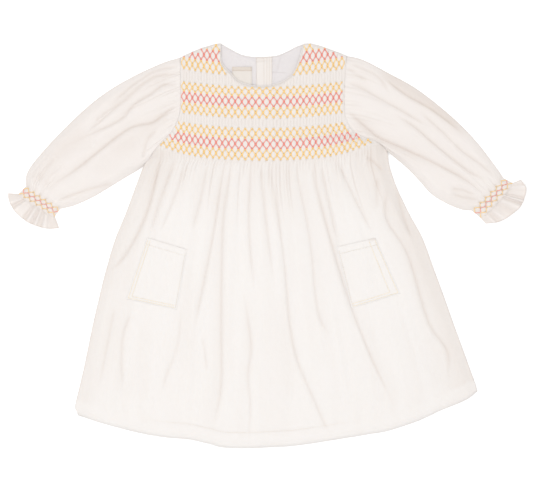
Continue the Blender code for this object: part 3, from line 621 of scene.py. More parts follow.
def zigzag(value):
    """A wave from 1 at even whole numbers to -1 at odd ones, steep between and round at its ends."""
    wave = np.cos(np.pi * value)
    return np.sign(wave) * np.abs(wave) ** WAVE_ROUNDNESS


def button_lift(x, y):
    """How far the buttons under the back opening lift what lies on them, 0 to 1."""
    middle = OPENING_X + STAND_WIDTH / 2
    across = 1 - smooth(*LIFT_ACROSS, np.abs(x - middle))
    return across * smooth(*LIFT_FOOT, y) * (1 - smooth(*LIFT_TOP, y))


def label_lift(x, y):
    """How far the label lifts the front that lies on it, 0 to 1."""
    x0, x1, y0, y1 = LABEL
    near, far = LABEL_NEAR, LABEL_FAR
    across = smooth(x0 - far, x0 - near, x) * (1 - smooth(x1 + near, x1 + far, x))
    return across * smooth(y0 - far, y0 - near, y) * (1 - smooth(y1 + near, y1 + far, y))


# ---------------------------------------------------------------- meshes from grids


def grid_faces(index):
    """The corners of every cell of a grid of vertices, facing up for rows down and columns across."""
    a, b = index[:-1, :-1].ravel(), index[:-1, 1:].ravel()
    c, d = index[1:, 1:].ravel(), index[1:, :-1].ravel()
    return np.stack([a, d, c, b], 1)


def add_mesh(name, points, faces, rims=0, shade=None, closed=True):
    """A mesh object from points in millimetres, shaded smooth apart from its last faces, the rims.

    Points that coincide are merged, and a closed mesh has every face turned outwards. shade
    is kept on the points as an attribute: painted shade, 0 to 1, how far the colour there is
    darkened towards its shade colour.
    """
    mesh = bpy.data.meshes.new(name)
    mesh.from_pydata((np.asarray(points).reshape(-1, 3) * MM).tolist(), [], faces)
    smooth_faces = np.arange(len(faces)) < len(faces) - rims
    mesh.polygons.foreach_set("use_smooth", smooth_faces)
    if shade is not None:
        values = np.zeros(len(mesh.vertices), np.float32)
        values[: np.size(shade)] = np.ravel(shade)
        mesh.attributes.new("shade", "FLOAT", "POINT").data.foreach_set("value", values)
    mesh.update()
    shape = bmesh.new()
    shape.from_mesh(mesh)
    bmesh.ops.remove_doubles(shape, verts=shape.verts, dist=MERGE)
    if closed:
        bmesh.ops.recalc_face_normals(shape, faces=shape.faces)
    shape.to_mesh(mesh)
    shape.free()
    piece = bpy.data.objects.new(name, mesh)
    bpy.context.scene.collection.objects.link(piece)
    return piece


def shell_object(name, outer, inner, shade=None):
    """A closed shell between a fine outer grid and an inner one, coarser by a whole step.

    Along the rim, each edge of the inner grid meets the row of outer edges above it in one face.
    """
    rows, columns = outer.shape[:2]
    low_rows, low_columns = inner.shape[:2]
    top = np.arange(rows * columns).reshape(rows, columns)
    low = np.arange(low_rows * low_columns).reshape(low_rows, low_columns) + rows * columns
    faces = grid_faces(top).tolist() + grid_faces(low)[:, ::-1].tolist()
    rims = (
        (top[0], low[0]),
        (top[-1][::-1], low[-1][::-1]),
        (top[::-1, 0], low[::-1, 0]),
        (top[:, -1], low[:, -1]),
    )
    inside = len(faces)
    for fine, coarse in rims:
        step = (len(fine) - 1) // (len(coarse) - 1)
        for k in range(len(coarse) - 1):
            above = fine[k * step : (k + 1) * step + 1].tolist()
            faces.append(above + [int(coarse[k + 1]), int(coarse[k])])
    points = np.concatenate([outer.reshape(-1, 3), inner.reshape(-1, 3)])
    return add_mesh(name, points, faces, len(faces) - inside, shade)


def slab(name, x, y, high, low, shade=None):
    """A shell over the same x and y from its high z to its low z, the low side on a coarser grid."""
    outer, inner = np.stack([x, y, high], axis=2), np.stack([x, y, low], axis=2)
    return shell_object(name + "_cloth", outer, inner[::INSIDE_STEP, ::INSIDE_STEP], shade)


def tube_faces(rings, sides):
    """Faces of a tube of rings, each with the given number of sides, capped at both ends."""
    index = np.arange(rings * sides).reshape(rings, sides)
    around = np.hstack([index, index[:, :1]])
    return grid_faces(around).tolist() + [index[0].tolist(), index[-1][::-1].tolist()]


def many_tubes(name, rings):
    """One object of many capped tubes: rings is an array (tubes, rings, sides, 3)."""
    count, length, sides = rings.shape[:3]
    one = tube_faces(length, sides)
    faces = []
    for number in range(count):
        shift = number * length * sides
        faces += [[corner + shift for corner in face] for face in one]
    return add_mesh(name, rings, faces)


def thread_rings(lines, width, height, sides=6, taper=False):
    """Rings of an oval thread round each line: lines is an array (threads, points, 3)."""
    along = np.gradient(lines, axis=1)
    along /= np.linalg.norm(along, axis=2)[..., None] + 1e-9
    aside = np.stack([-along[..., 1], along[..., 0], np.zeros(along.shape[:2])], axis=2)
    aside /= np.linalg.norm(aside, axis=2)[..., None] + 1e-9
    up = np.cross(along, aside)
    up *= np.where(up[..., 2:] < 0, -1, 1)
    turn = np.linspace(0, 2 * np.pi, sides, endpoint=False)
    size = np.ones(lines.shape[1])
    if taper:
        size = np.sqrt(1 - np.linspace(-0.93, 0.93, lines.shape[1]) ** 2) / 0.98
    size = size[None, :, None, None]
    across = np.cos(turn)[None, None, :, None] * aside[:, :, None] * width / 2
    high = np.sin(turn)[None, None, :, None] * up[:, :, None] * height / 2
    return lines[:, :, None] + size * (across + high)


def stitches(name, path, pitch, length, width, height=0.4):
    """Short raised stitches at even steps along a path of points, thinner at their ends."""
    run = distances(path)
    middles = np.arange(pitch / 2, run[-1] - pitch / 2, pitch)
    at = middles[:, None] + np.linspace(-length / 2, length / 2, 5)[None, :]
    lines = np.stack([np.interp(at, run, path[:, i]) for i in range(3)], axis=2)
    return many_tubes(name, thread_rings(lines, width, height, 5, taper=True))


# ---------------------------------------------------------------- the front's shape


def column_x(across, y):
    """x at an even share, -1 to 1, of the way from the right side to the left one."""
    return right_side(y) + (left_side(y) - right_side(y)) * (across + 1) / 2


def pleat_at(x):
    """Pleats counted from the chest's right side: closer to the sides, evenly spaced beyond them."""
    out = np.abs(x - SMOCK_MIDDLE) / SMOCK_HALF_WIDTH
    near = np.minimum(out, 1)
    count = MIDDLE_DENSITY * near + (1 - MIDDLE_DENSITY) * near**2 + SIDE_DENSITY * (out - near)
    return PLEATS / 2 * (1 + np.sign(x - SMOCK_MIDDLE) * count)


PLEAT_X = np.linspace(-200, 200, 1601)
PLEAT_COUNT = pleat_at(PLEAT_X)


def pleat_x(pleat):
    """x of any pleat, whole or between two."""
    return np.interp(pleat, PLEAT_COUNT, PLEAT_X)


def fanned_x(x, y):
    """x at the last band of the pleat that each x and y of the skirt lies on."""
    below = np.minimum(y, RELEASE_TOP)
    right, left = right_side(RELEASE_TOP), left_side(RELEASE_TOP)
    share = (x - right_side(below)) / (left_side(below) - right_side(below))
    return np.where(y < RELEASE_TOP, right + (left - right) * share, x)


def level_height(level, x):
    """y at any x of any level of the smocking, whole or between two."""
    heights = np.array(LEVELS)
    out = np.abs(x - SMOCK_MIDDLE) / SMOCK_HALF_WIDTH
    beyond = (np.maximum(out - 0.7, 0) / 0.6) ** 2
    whole = np.clip(np.floor(level), 0, len(LEVELS) - 2).astype(int)
    part = level - whole

    def height(index):
        return heights[index, 0] + heights[index, 1] * out**2 + heights[index, 2] * beyond

    return height(whole) * (1 - part) + height(whole + 1) * part


def level_at(x, y):
    """The smocking's level at each x and y: the sum of how far each step between levels is passed."""
    heights = [level_height(np.full(np.shape(x), float(i)), x) for i in range(len(LEVELS))]
    level = np.zeros(np.shape(y))
    for above, below in zip(heights, heights[1:]):
        level = level + np.clip((above - y) / (above - below), 0, 1)
    past = np.clip(heights[-1] - y, 0, None) / LEVEL_STEP
    return level + past


def in_bands(level):
    """1 inside a band of smocking, 0 where the pleats run free, with a soft edge."""
    inside = np.zeros(np.shape(level))
    for first, last in BANDS:
        begins = 1.0 if first == 0 else smooth(first - 0.5, first + 0.1, level)
        inside = np.maximum(inside, begins * (1 - smooth(last - 0.1, last + 0.5, level)))
    return inside


def crest_place(number, level):
    """Where a crest runs, in pleats from the right side: pulled to and fro inside the bands."""
    return number + 0.5 + PLEAT_PULL * zigzag(number + level) * in_bands(level)


def pillow(pleat, crest):
    """A rounded arch between the two crests beside each pleat, and how open their cell is, 0 to 1."""
    cell = np.floor(pleat + 0.5)
    cell = cell - (pleat < crest(cell - 1)) + (pleat > crest(cell))
    left, right = crest(cell - 1), crest(cell)
    share = np.clip((pleat - left) / (right - left), 0, 1)
    dome = np.clip(4 * share * (1 - share), 0, 1) ** 0.45
    return dome, smooth(0.3, 1.25, right - left)


def smocked_height(pleat, level):
    """The height of smocked cloth, 0 to 1.

    Inside a band every cell between two pulled crests is a small pillow, highest in its
    middle; where the pleats run free, each is a rounded ridge between narrow valleys.
    """
    ridge = 0.62 + 0.26 * np.abs(np.sin(np.pi * pleat)) ** 0.7
    dome, open_share = pillow(pleat, lambda number: crest_place(number, level))
    bands = in_bands(level)
    return ridge * (1 - bands) + (0.5 + 0.5 * dome * open_share) * bands


def skirt_rise(x, y, folds):
    """0 where the skirt lies flat, 1 on top of its folds."""
    roll = 0.08 + 0.92 * smooth(0, SIDE_ROLL, from_sides(x, y))
    above = y - hem_height(x)
    hem = HEM_SHARE + (1 - HEM_SHARE) * smooth(0, 60, above)
    hem = hem * (HEM_EDGE_SHARE + (1 - HEM_EDGE_SHARE) * smooth(0, 4, above))
    return (1 - folds) * roll * hem


def chest_inside(x, y):
    """z of the chest's plain inside, lifted where buttons or the label lie below."""
    return SMOCK_INSIDE + BUTTON_LIFT * button_lift(x, y) + LABEL_LIFT * label_lift(x, y)


FRONT_TOP = top_edge(offset_line(FRONT_NECK, BINDING_SHOWS))
BACK_TOP = top_edge(offset_line(BACK_NECK, BINDING_SHOWS))


def drawn_lines(pleat, down, count, seed, shortest, longest):
    """Narrow valleys down from a gathered edge, 0 to 1, each with its own place, depth and length."""
    chance = np.random.default_rng(seed)
    depths = chance.uniform(0.1, 1, count + 2) ** 1.2
    lengths = shortest + (longest - shortest) * chance.uniform(0, 1, count + 2) ** 2.2
    shifts = chance.uniform(-0.3, 0.3, count + 2)
    valley = np.clip(np.floor(pleat + 0.5), 0, count).astype(int)
    reach = np.clip(down / lengths[valley], 0, 1)
    bell = np.exp(-(((pleat - valley - shifts[valley]) / (0.2 + 0.14 * reach)) ** 2))
    return depths[valley] * bell * (1 - smooth(0.2, 1, reach))


def front_surface(x, y):
    """The front's outer and inner z and its painted shade at each x and y.

    Outer z is the smocked or pleated height over the chest's inside, melting below the last
    band into the skirt's soft folds, where each pleat dies out over its own length.
    """
    pleat = pleat_at(fanned_x(x, y))
    level = level_at(x, y)
    past_level = level - (len(LEVELS) - 1)
    past_band = LEVEL_STEP * np.maximum(past_level, 0)
    side = from_sides(x, y)
    top = FRONT_TOP(x) - y
    from_top = smooth(0, 4, top)
    from_side = smooth(0, 3, side)

    smocked = smocked_height(pleat, level)
    height = EDGE_SHARE + (smocked - EDGE_SHARE) * from_side
    height = TOP_SHARE + (height - TOP_SHARE) * from_top
    chest_in = chest_inside(x, y)
    chest_out = chest_in + PLEAT_FLOOR * (0.75 + 0.25 * from_top) + PLEAT_HEIGHT * height
    # painted shade of the chest: over it all, in the valleys between its pleats and pillows, and along its
    # top edge
    chest_shade = CHEST_SHADE + VALLEY_SHADE * (1 - smocked) ** 1.5 * (0.3 + 0.7 * from_top * from_side)
    chest_shade += NECK_SHADE * line_shade(top, 1.6)

    folds, creases = fold_troughs(x, y, SKIRT_FOLDS)
    rise = skirt_rise(x, y, SKIRT_FOLD_SHARE * folds)
    skirt_in = SKIRT_INSIDE + SKIRT_INSIDE_LIFT * np.clip(rise, 0, 1)
    deep, shortest, longest = GATHERS
    extra = EXTRA_PLEATS
    lines = drawn_lines(pleat + extra, past_band, PLEATS + 2 * extra, 3, shortest, longest)
    lines = lines * smooth(0, 12, side)
    ripple = sum(tall * wander(pleat / wide + 9, y / long, seed) for tall, wide, long, seed in RIPPLES)
    ripple = ripple * smooth(0, 20, side)
    skirt_out = SKIRT_INSIDE + SKIRT_VALLEY_WALL + SKIRT_OUTSIDE_LIFT * rise
    skirt_out = np.maximum(skirt_out - deep * lines + ripple, skirt_in + SKIRT_THINNEST)
    hem = y - hem_height(x)
    stitched = line_shade(hem - HEM_DEPTH, 1.2) * smooth(0, 3, side)
    doubled = 1 - smooth(HEM_DEPTH - 1.5, HEM_DEPTH, hem)
    skirt_out += HEM_STEP * doubled - HEM_STEP * stitched
    # painted shade of the skirt: in its creases, folds, gather lines and hem stitch groove, below the
    # gathers, towards the sides and along the side edges, less on the doubled hem, with a random uneven tone
    skirt_shade = CREASE_SHADE * creases + FOLD_SHADE * folds + LINE_SHADE * lines
    skirt_shade = skirt_shade + STITCHED_SHADE * stitched
    skirt_shade += UNEVEN_SHADE * wander(pleat / 1.9 + 9, y / 110, 17)
    to_side = np.where(x < SMOCK_MIDDLE, SIDE_SHADE, LEFT_SIDE_SHADE) * (1 - smooth(0, SIDE_SHADED, side))
    gathered = GATHER_SHADE * (1 - smooth(0, GATHER_SHADED, past_band))
    skirt_shade += gathered + to_side + SIDE_EDGE_SHADE * (1 - smooth(0, 3, side))
    skirt_shade = np.clip(skirt_shade, 0, 1) * (1 - 0.6 * doubled)

    to_skirt = smooth(0.1, 2.6, past_level)
    outer = chest_out + (skirt_out - chest_out) * to_skirt
    inner = chest_in + (skirt_in - chest_in) * to_skirt
    shade = chest_shade + (skirt_shade - chest_shade) * smooth(0, 1.4, past_level)
    return outer, inner, shade


def front_height(x, y):
    """The outer z of the front at each x and y."""
    return front_surface(x, y)[0]


# ---------------------------------------------------------------- sleeves


def sleeve_plan(size, across, down, to_brim):
    """x and y of a sleeve on a grid: even steps from its shoulder edge to its underarm edge.

    The first rows bend into the armhole and the last ones into the round brim of the ruffle.
    """
    side = right_side if size["side"] < 0 else left_side
    cuff = np.linspace(0, 1, CUFF_ROWS + 1)[1:, None]
    ruffle = to_brim[-RUFFLE_ROWS:]
    brim = evenly(size["ruffle_end"], len(across))

    def carry_on(edge, cuff_end, ruffle_end):
        """An edge in even steps down the body, then straight on over the cuff and down the ruffle."""
        body = evenly(edge, SLEEVE_ROWS)
        to_cuff = body[-1] + (cuff_end - body[-1]) * cuff
        return np.vstack([body, to_cuff, cuff_end + (ruffle_end - cuff_end) * ruffle])

    ends = np.array(size["cuff_end"])
    shoulder = carry_on(size["shoulder_edge"], ends[0], brim[0])
    underarm = carry_on(size["underarm_edge"], ends[1], brim[-1])
    plan = shoulder[:, None] * (1 - across[None, :, None]) + underarm[:, None] * across[None, :, None]
    heights = np.linspace(shoulder[0, 1], underarm[0, 1], 60)
    armhole = np.column_stack([side(heights) + size["side"] * ARMHOLE_SEAM, heights])
    to_armhole = (evenly(armhole, len(across)) - plan[0]) * (np.clip(1 - 2 * down, 0, 1) ** 1.5)[..., None]
    plan = plan + to_armhole + (brim - plan[-1]) * to_brim[..., None]
    return plan[..., 0], plan[..., 1]


def sleeve_surface(size):
    """The top of a sleeve on a grid: x, y, z, the level of its smocking and its painted shade.

    Rows run from the armhole to the cuff, through the cuff's levels and down the ruffle;
    columns run from the shoulder edge to the underarm edge. z is the edge's height, plus a
    roll up from both edges, times folds, gathers, smocked pillows or flutes.
    """
    body = np.linspace(0, 1, SLEEVE_ROWS)
    cuff = np.linspace(0, 1, CUFF_ROWS + 1)[1:]
    ruffle = np.linspace(0, 1, RUFFLE_ROWS + 1)[1:]
    down = np.concatenate([body, np.ones(CUFF_ROWS + RUFFLE_ROWS)])[:, None]
    to_brim = np.concatenate([np.zeros(SLEEVE_ROWS + CUFF_ROWS), ruffle])[:, None]
    last = CUFF_LEVELS - 1
    level = np.concatenate([-12.0 * (1 - body), cuff * last, last + ruffle * 3])[:, None]
    share = np.linspace(0, 1, COLUMNS_A_SLEEVE_PLEAT * SLEEVE_PLEATS + 1)
    x, y = sleeve_plan(size, share, down, to_brim)
    width = np.hypot(x[:, -1] - x[:, 0], y[:, -1] - y[:, 0])[:, None]
    across = share[None, :]
    edge = np.minimum(across, 1 - across) * width

    past_cuff = smooth(last - 0.05, last + 0.5, level)
    in_cuff = smooth(-0.5, 0.1, level) * (1 - past_cuff)
    before = (1 - in_cuff) * (1 - past_cuff)
    seed = 20 + size["side"]
    folds, creases = fold_troughs(x, y, size["folds"])
    shadows = fold_troughs(x, y, size["shadows"])[0]
    cap = drawn_lines(across * 26 + 1, down, 27, seed, 0.10, 0.6)
    wrist = drawn_lines(across * 20 + 1, 1 - down, 21, seed + 3, 0.06, 0.4)
    uneven = sum(
        high * wander(across * waves, down * long, seed + more) for high, waves, long, more in SLEEVE_RIPPLES
    )
    cloth = 1 - SLEEVE_FOLD_SHARE * folds - CAP_GATHERS * cap - WRIST_GATHERS * wrist + uneven
    pleat = across * SLEEVE_PLEATS
    dome, open_share = pillow(pleat, lambda number: number + 0.5 + PLEAT_PULL * zigzag(number + level))
    smocked = 0.48 + 0.42 * dome * open_share
    flute = 0.55 + 0.45 * np.cos(2 * np.pi * (pleat * 0.5 + 0.35 * wander(pleat * 0.6, 0, seed + 9)))
    flute = flute * (0.5 + 0.5 * smooth(last, last + 3, level))
    rise = cloth * before + smocked * in_cuff + flute * past_cuff

    roll = smooth(0, np.minimum(SLEEVE_ROLL, width / 5), edge)
    underarm = (1 - smooth(0, 0.22, down)) * smooth(0.7, 1, across)
    roll = roll + (0.55 - roll) * underarm * (1 - smooth(0, 8, edge))
    z = SLEEVE_EDGE + (SLEEVE_VALLEY - SLEEVE_EDGE) * smooth(0, 5, edge) + SLEEVE_LIFT * rise * roll
    at_seam = np.minimum(ARMHOLE_HEIGHT, z)
    z = at_seam + (z - at_seam) * smooth(-0.005, 0.05, down)

    # painted shade of the sleeve: over it all, in its creases, folds, shadow bands and gathers, in the
    # cuff's valleys, the flutes, and along its edges, underarm and brim
    shade = SLEEVE_SHADE + SLEEVE_CREASE_SHADE * creases + SLEEVE_FOLD_SHADE * folds
    shade = (shade + SHADOW_SHADE * shadows + CAP_SHADE * cap + WRIST_SHADE * wrist) * before
    worked = smooth(-0.3, 0.1, level)
    shade = shade + (CHEST_SHADE + VALLEY_SHADE * (1 - smocked) ** 1.5 * worked) * in_cuff
    shade = shade + (RUFFLE_SHADE + FLUTE_SHADE * (1 - flute)) * past_cuff
    at_edge = (SLEEVE_EDGE_SHADE + size["underarm_shade"] * underarm) * (1 - smooth(0, 2.5, edge))
    shade = shade + at_edge * (1 - in_cuff) + BRIM_SHADE * smooth(0.88, 1, to_brim)
    return x, y, z, level, shade


def sleeve_under(x, y):
    """The underside of a sleeve on a coarser grid, from its underarm edge back to its shoulder edge.

    z lies in shallow folds on the floor, which die out towards both edges.
    """
    last = x.shape[1] - 1
    place = np.linspace(0.006, 0.994, 37)[::-1] * last
    column = np.clip(np.floor(place), 0, last - 1).astype(int)
    part = place - column
    low_x = x[:, column] * (1 - part) + x[:, column + 1] * part
    low_y = y[:, column] * (1 - part) + y[:, column + 1] * part
    edge = np.minimum(place, last - place) / x.shape[1]
    low_z = 0.3 * (1 + wander(low_x / 17, low_y / 23, 51)) * smooth(0, 0.12, edge)
    return np.stack([low_x, low_y, low_z], axis=2)


# ---------------------------------------------------------------- materials


def new_material(name):
    """An empty material, its nodes, its links and its shader."""
    material = bpy.data.materials.new(name)
    material.use_nodes = True
    nodes, links = material.node_tree.nodes, material.node_tree.links
    return material, nodes, links, nodes["Principled BSDF"]


def set_inputs(node, **values):
    """Sets a node's inputs by their names, with _ for a space."""
    for name, value in values.items():
        node.inputs[name.replace("_", " ")].default_value = value


def wave_node(nodes, direction, spacing, distortion, detail=2.0):
    """Parallel bands, one in each spacing of millimetres."""
    wave = nodes.new("ShaderNodeTexWave")
    wave.wave_type, wave.bands_direction = "BANDS", direction
    set_inputs(wave, Scale=0.5 / (spacing * MM) / math.pi, Distortion=distortion, Detail=detail)
    return wave


def ramp_node(nodes, low, low_colour, high, high_colour):
    """A blend from one colour to another between two places."""
    ramp = nodes.new("ShaderNodeValToRGB")
    for element, place, colour in zip(ramp.color_ramp.elements, (low, high), (low_colour, high_colour)):
        element.position = place
        element.color = (*colour, 1)
    return ramp


def math_node(nodes, operation):
    """A node that does one sum."""
    node = nodes.new("ShaderNodeMath")
    node.operation = operation
    return node


def cloth_material(name, colour, tint, crease_shade):
    """Woven cloth: a crossed weave and soft slubs in bump, a faint uneven tint, and painted warm shade.

    The colour is mixed towards its shade colour, as painted shade, where the mesh's own shade
    attribute is high.
    """
    material, nodes, links, shader = new_material(name)
    place = nodes.new("ShaderNodeTexCoord")
    warp = wave_node(nodes, "X", WEAVE, 1.2, 1.0)
    weft = wave_node(nodes, "Y", WEAVE, 1.2, 1.0)
    crossed = math_node(nodes, "MAXIMUM")
    slubs = nodes.new("ShaderNodeTexNoise")
    set_inputs(slubs, Scale=1 / (SLUB * MM), Detail=3.0)
    for pattern in (warp, weft, slubs):
        links.new(place.outputs["Object"], pattern.inputs["Vector"])
    links.new(warp.outputs["Fac"], crossed.inputs[0])
    links.new(weft.outputs["Fac"], crossed.inputs[1])
    both = math_node(nodes, "MULTIPLY_ADD")
    both.inputs[1].default_value = 0.35
    links.new(crossed.outputs[0], both.inputs[0])
    links.new(slubs.outputs["Fac"], both.inputs[2])
    relief = nodes.new("ShaderNodeBump")
    set_inputs(relief, Strength=0.25, Distance=0.3 * MM)
    links.new(both.outputs[0], relief.inputs["Height"])
    links.new(relief.outputs["Normal"], shader.inputs["Normal"])
    ramp = ramp_node(nodes, 0.3, tint, 0.6, colour)
    links.new(slubs.outputs["Fac"], ramp.inputs["Fac"])
    # painted shade: the colour is darkened towards the shade colour by the mesh's shade attribute
    shade = nodes.new("ShaderNodeAttribute")
    shade.attribute_name = "shade"
    deepen = nodes.new("ShaderNodeMix")
    deepen.data_type = "RGBA"
    deepen.inputs["B"].default_value = (*crease_shade, 1)
    links.new(shade.outputs["Fac"], deepen.inputs["Factor"])
    links.new(ramp.outputs["Color"], deepen.inputs["A"])
    links.new(deepen.outputs["Result"], shader.inputs["Base Color"])
    set_inputs(shader, Roughness=0.9, Sheen_Weight=0.12, Sheen_Roughness=0.5)
    set_inputs(
        shader, Subsurface_Weight=0.15, Subsurface_Radius=(1.0, 0.9, 0.8), Subsurface_Scale=3 * MM
    )
    return material


def thread_material(name, colour, dark):
    """Twisted thread: a fine diagonal band in bump, and in colour as painted shade between its plies, with a
    soft shine.
    """
    material, nodes, links, shader = new_material(name)
    place = nodes.new("ShaderNodeTexCoord")
    twist = wave_node(nodes, "DIAGONAL", TWIST, 0.8)
    links.new(place.outputs["Object"], twist.inputs["Vector"])
    ramp = ramp_node(nodes, 0, dark, 0.5, colour)
    links.new(twist.outputs["Fac"], ramp.inputs["Fac"])
    links.new(ramp.outputs["Color"], shader.inputs["Base Color"])
    relief = nodes.new("ShaderNodeBump")
    set_inputs(relief, Strength=0.4, Distance=0.15 * MM)
    links.new(twist.outputs["Fac"], relief.inputs["Height"])
    links.new(relief.outputs["Normal"], shader.inputs["Normal"])
    set_inputs(shader, Roughness=0.55, Sheen_Weight=0.2)
    return material


def shell_material(name, colour, dark):
    """Pearly button shell: faint cloudy bands under a smooth shine."""
    material, nodes, links, shader = new_material(name)
    place = nodes.new("ShaderNodeTexCoord")
    clouds = nodes.new("ShaderNodeTexNoise")
    set_inputs(clouds, Scale=1 / (PEARL_CLOUD * MM), Detail=4.0, Distortion=1.5)
    links.new(place.outputs["Object"], clouds.inputs["Vector"])
    ramp = ramp_node(nodes, 0.35, dark, 0.65, colour)
    links.new(clouds.outputs["Fac"], ramp.inputs["Fac"])
    links.new(ramp.outputs["Color"], shader.inputs["Base Color"])
    set_inputs(shader, Roughness=0.25, Coat_Weight=0.4)
    return material


def finish(name):
    """The material of that name, made from its settings the first time it is asked for."""
    found = bpy.data.materials.get(name)
    if found:
        return found
    scene = bpy.context.scene
    if name in CLOTHS:
        return cloth_material(name, *(getattr(scene.dress_cloth, colour) for colour in CLOTHS[name]))
    return thread_material(name, *(getattr(scene.dress_threads, colour) for colour in THREADS[name]))


def finished(piece, material, node=None):
    """Gives a piece its finish and the body it rides on, and lets it stand for a CAD node."""
    piece.data.materials.clear()
    piece.data.materials.append(finish(material))
    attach(piece, "root")
    if node:
        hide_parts(node)


# ---------------------------------------------------------------- settings


def colour(name, description, default):
    """A colour that a user can change."""
    return bpy.props.FloatVectorProperty(
        name=name, description=description, default=default, subtype="COLOR", size=3, min=0, max=1
    )


class DressClothSettings(bpy.types.PropertyGroup):
    """Colours of the dress's cloth."""

    cotton: colour("Cotton", "Colour of the cream cotton", (0.675, 0.648, 0.628))
    cotton_tint: colour("Cotton tint", "Its faint darker threads", (0.668, 0.641, 0.62))
    # painted shade: the colour the cotton is darkened towards in its creases, folds, shadow bands and along
    # its edges
    crease_shade: colour("Crease", "Colour of the cotton deep in its creases", (0.50, 0.415, 0.355))
    # the same cotton as the front, made warmer as painted warm shade and light on the sleeves
    sleeve: colour("Sleeve cotton", "Cotton of the sleeves, a little warmer", (0.692, 0.646, 0.617))
    double_cotton: colour("Doubled cotton", "Cotton where two layers lie", (0.672, 0.643, 0.62))
    placket: colour("Placket", "Cotton of the button stand, in the neck's shade", (0.65, 0.61, 0.58))
    # the lining's own greyer white, darkened as painted shade inside the neck
    lining: colour("Lining", "Colour of the white lining", (0.615, 0.583, 0.58))
    lining_tint: colour("Lining tint", "Its faint darker threads", (0.60, 0.568, 0.568))
    # painted shade: the colour the lining is darkened towards along its seam, its fold line and its top edge
    lining_shade: colour("Lining crease", "Colour of the lining along its seams", (0.42, 0.38, 0.38))
    label: colour("Label", "Colour of the woven label", (0.63, 0.585, 0.54))
    # the folded strip's own darker colour, also used as painted shade along the fold line
    label_fold_and_shade: colour("Label fold", "Colour of its folded strip and edges", (0.50, 0.43, 0.37))


class DressThreadSettings(bpy.types.PropertyGroup):
    """Sizes and colours of the threads."""

    # each thread's shade colour is painted shade in the gaps between its plies
    yellow: colour("Yellow", "Yellow smocking thread", (0.86, 0.57, 0.19))
    yellow_ply_shade: colour("Yellow shade", "Between the plies of the yellow thread", (0.80, 0.49, 0.13))
    red: colour("Coral", "Coral smocking thread", (0.80, 0.235, 0.185))
    red_ply_shade: colour("Coral shade", "Between the plies of the coral thread", (0.70, 0.17, 0.13))
    sewing: colour("Sewing", "Cream sewing thread", (0.70, 0.65, 0.58))
    sewing_ply_shade: colour("Sewing shade", "Between its plies", (0.62, 0.55, 0.48))
    pocket_sewing: colour("Pocket sewing", "Tan sewing thread of the pockets", (0.76, 0.66, 0.49))
    pocket_sewing_ply_shade: colour("Pocket sewing shade", "Between its plies", (0.70, 0.59, 0.41))
    smocking_width: bpy.props.FloatProperty(
        name="Smocking thread",
        description="Width of the zigzag threads, in millimetres",
        default=1.05,
        min=0.3,
        max=3,
    )


class DressStageSettings(bpy.types.PropertyGroup):
    """The studio round the dress."""

    camera_distance: bpy.props.FloatProperty(
        name="Camera height",
        description="How far above the dress the camera stands",
        default=2.6,
        unit="LENGTH",
    )
    floor_shade: colour("Floor", "Colour of the plain floor", (0.97, 0.97, 0.97))
    key_power: bpy.props.FloatProperty(
        name="Key light", description="Power of the soft main light", default=18.5, subtype="POWER"
    )
    fill_power: bpy.props.FloatProperty(
        name="Fill light", description="Power of the soft light opposite", default=7.5, subtype="POWER"
    )
    sky: bpy.props.FloatProperty(
        name="Surround", description="Strength of the even light from all round", default=0.93, min=0
    )


# ---------------------------------------------------------------- operators


class DRESS_OT_front(bpy.types.Operator):
    """Build the front: smocked chest and gathered skirt in one cloth."""

    bl_idname = "dress.front"
    bl_label = "Front"

    def execute(self, context):
        across = np.linspace(-1, 1, PLEATS * COLUMNS_A_PLEAT + 1)
        foot = hem_height(HEM[0][0] + (HEM[-1][0] - HEM[0][0]) * (across + 1) / 2)
        chest = np.tile(np.linspace(CHEST_TOP, CHEST_FOOT, CHEST_ROWS + 1)[:, None], across.size)
        down = np.linspace(0, 1, SKIRT_ROWS + 1)[1:, None] ** 1.25
        y = np.vstack([chest, CHEST_FOOT + (foot - CHEST_FOOT) * down])
        top = np.full(across.size, CHEST_TOP)
        #   x follows y and the top edge follows x, so the edge is found in a few rounds
        for _ in range(6):
            top = FRONT_TOP(column_x(across, top))
        y = np.where(y > top - SHORTEST_CELL, top, y)
        x = column_x(across, y)
        outer, inner, shade = front_surface(x, y)
        piece = slab("front", x, y, outer, inner, shade)
        finished(piece, "cream_cotton", "front")
        return {"FINISHED"}


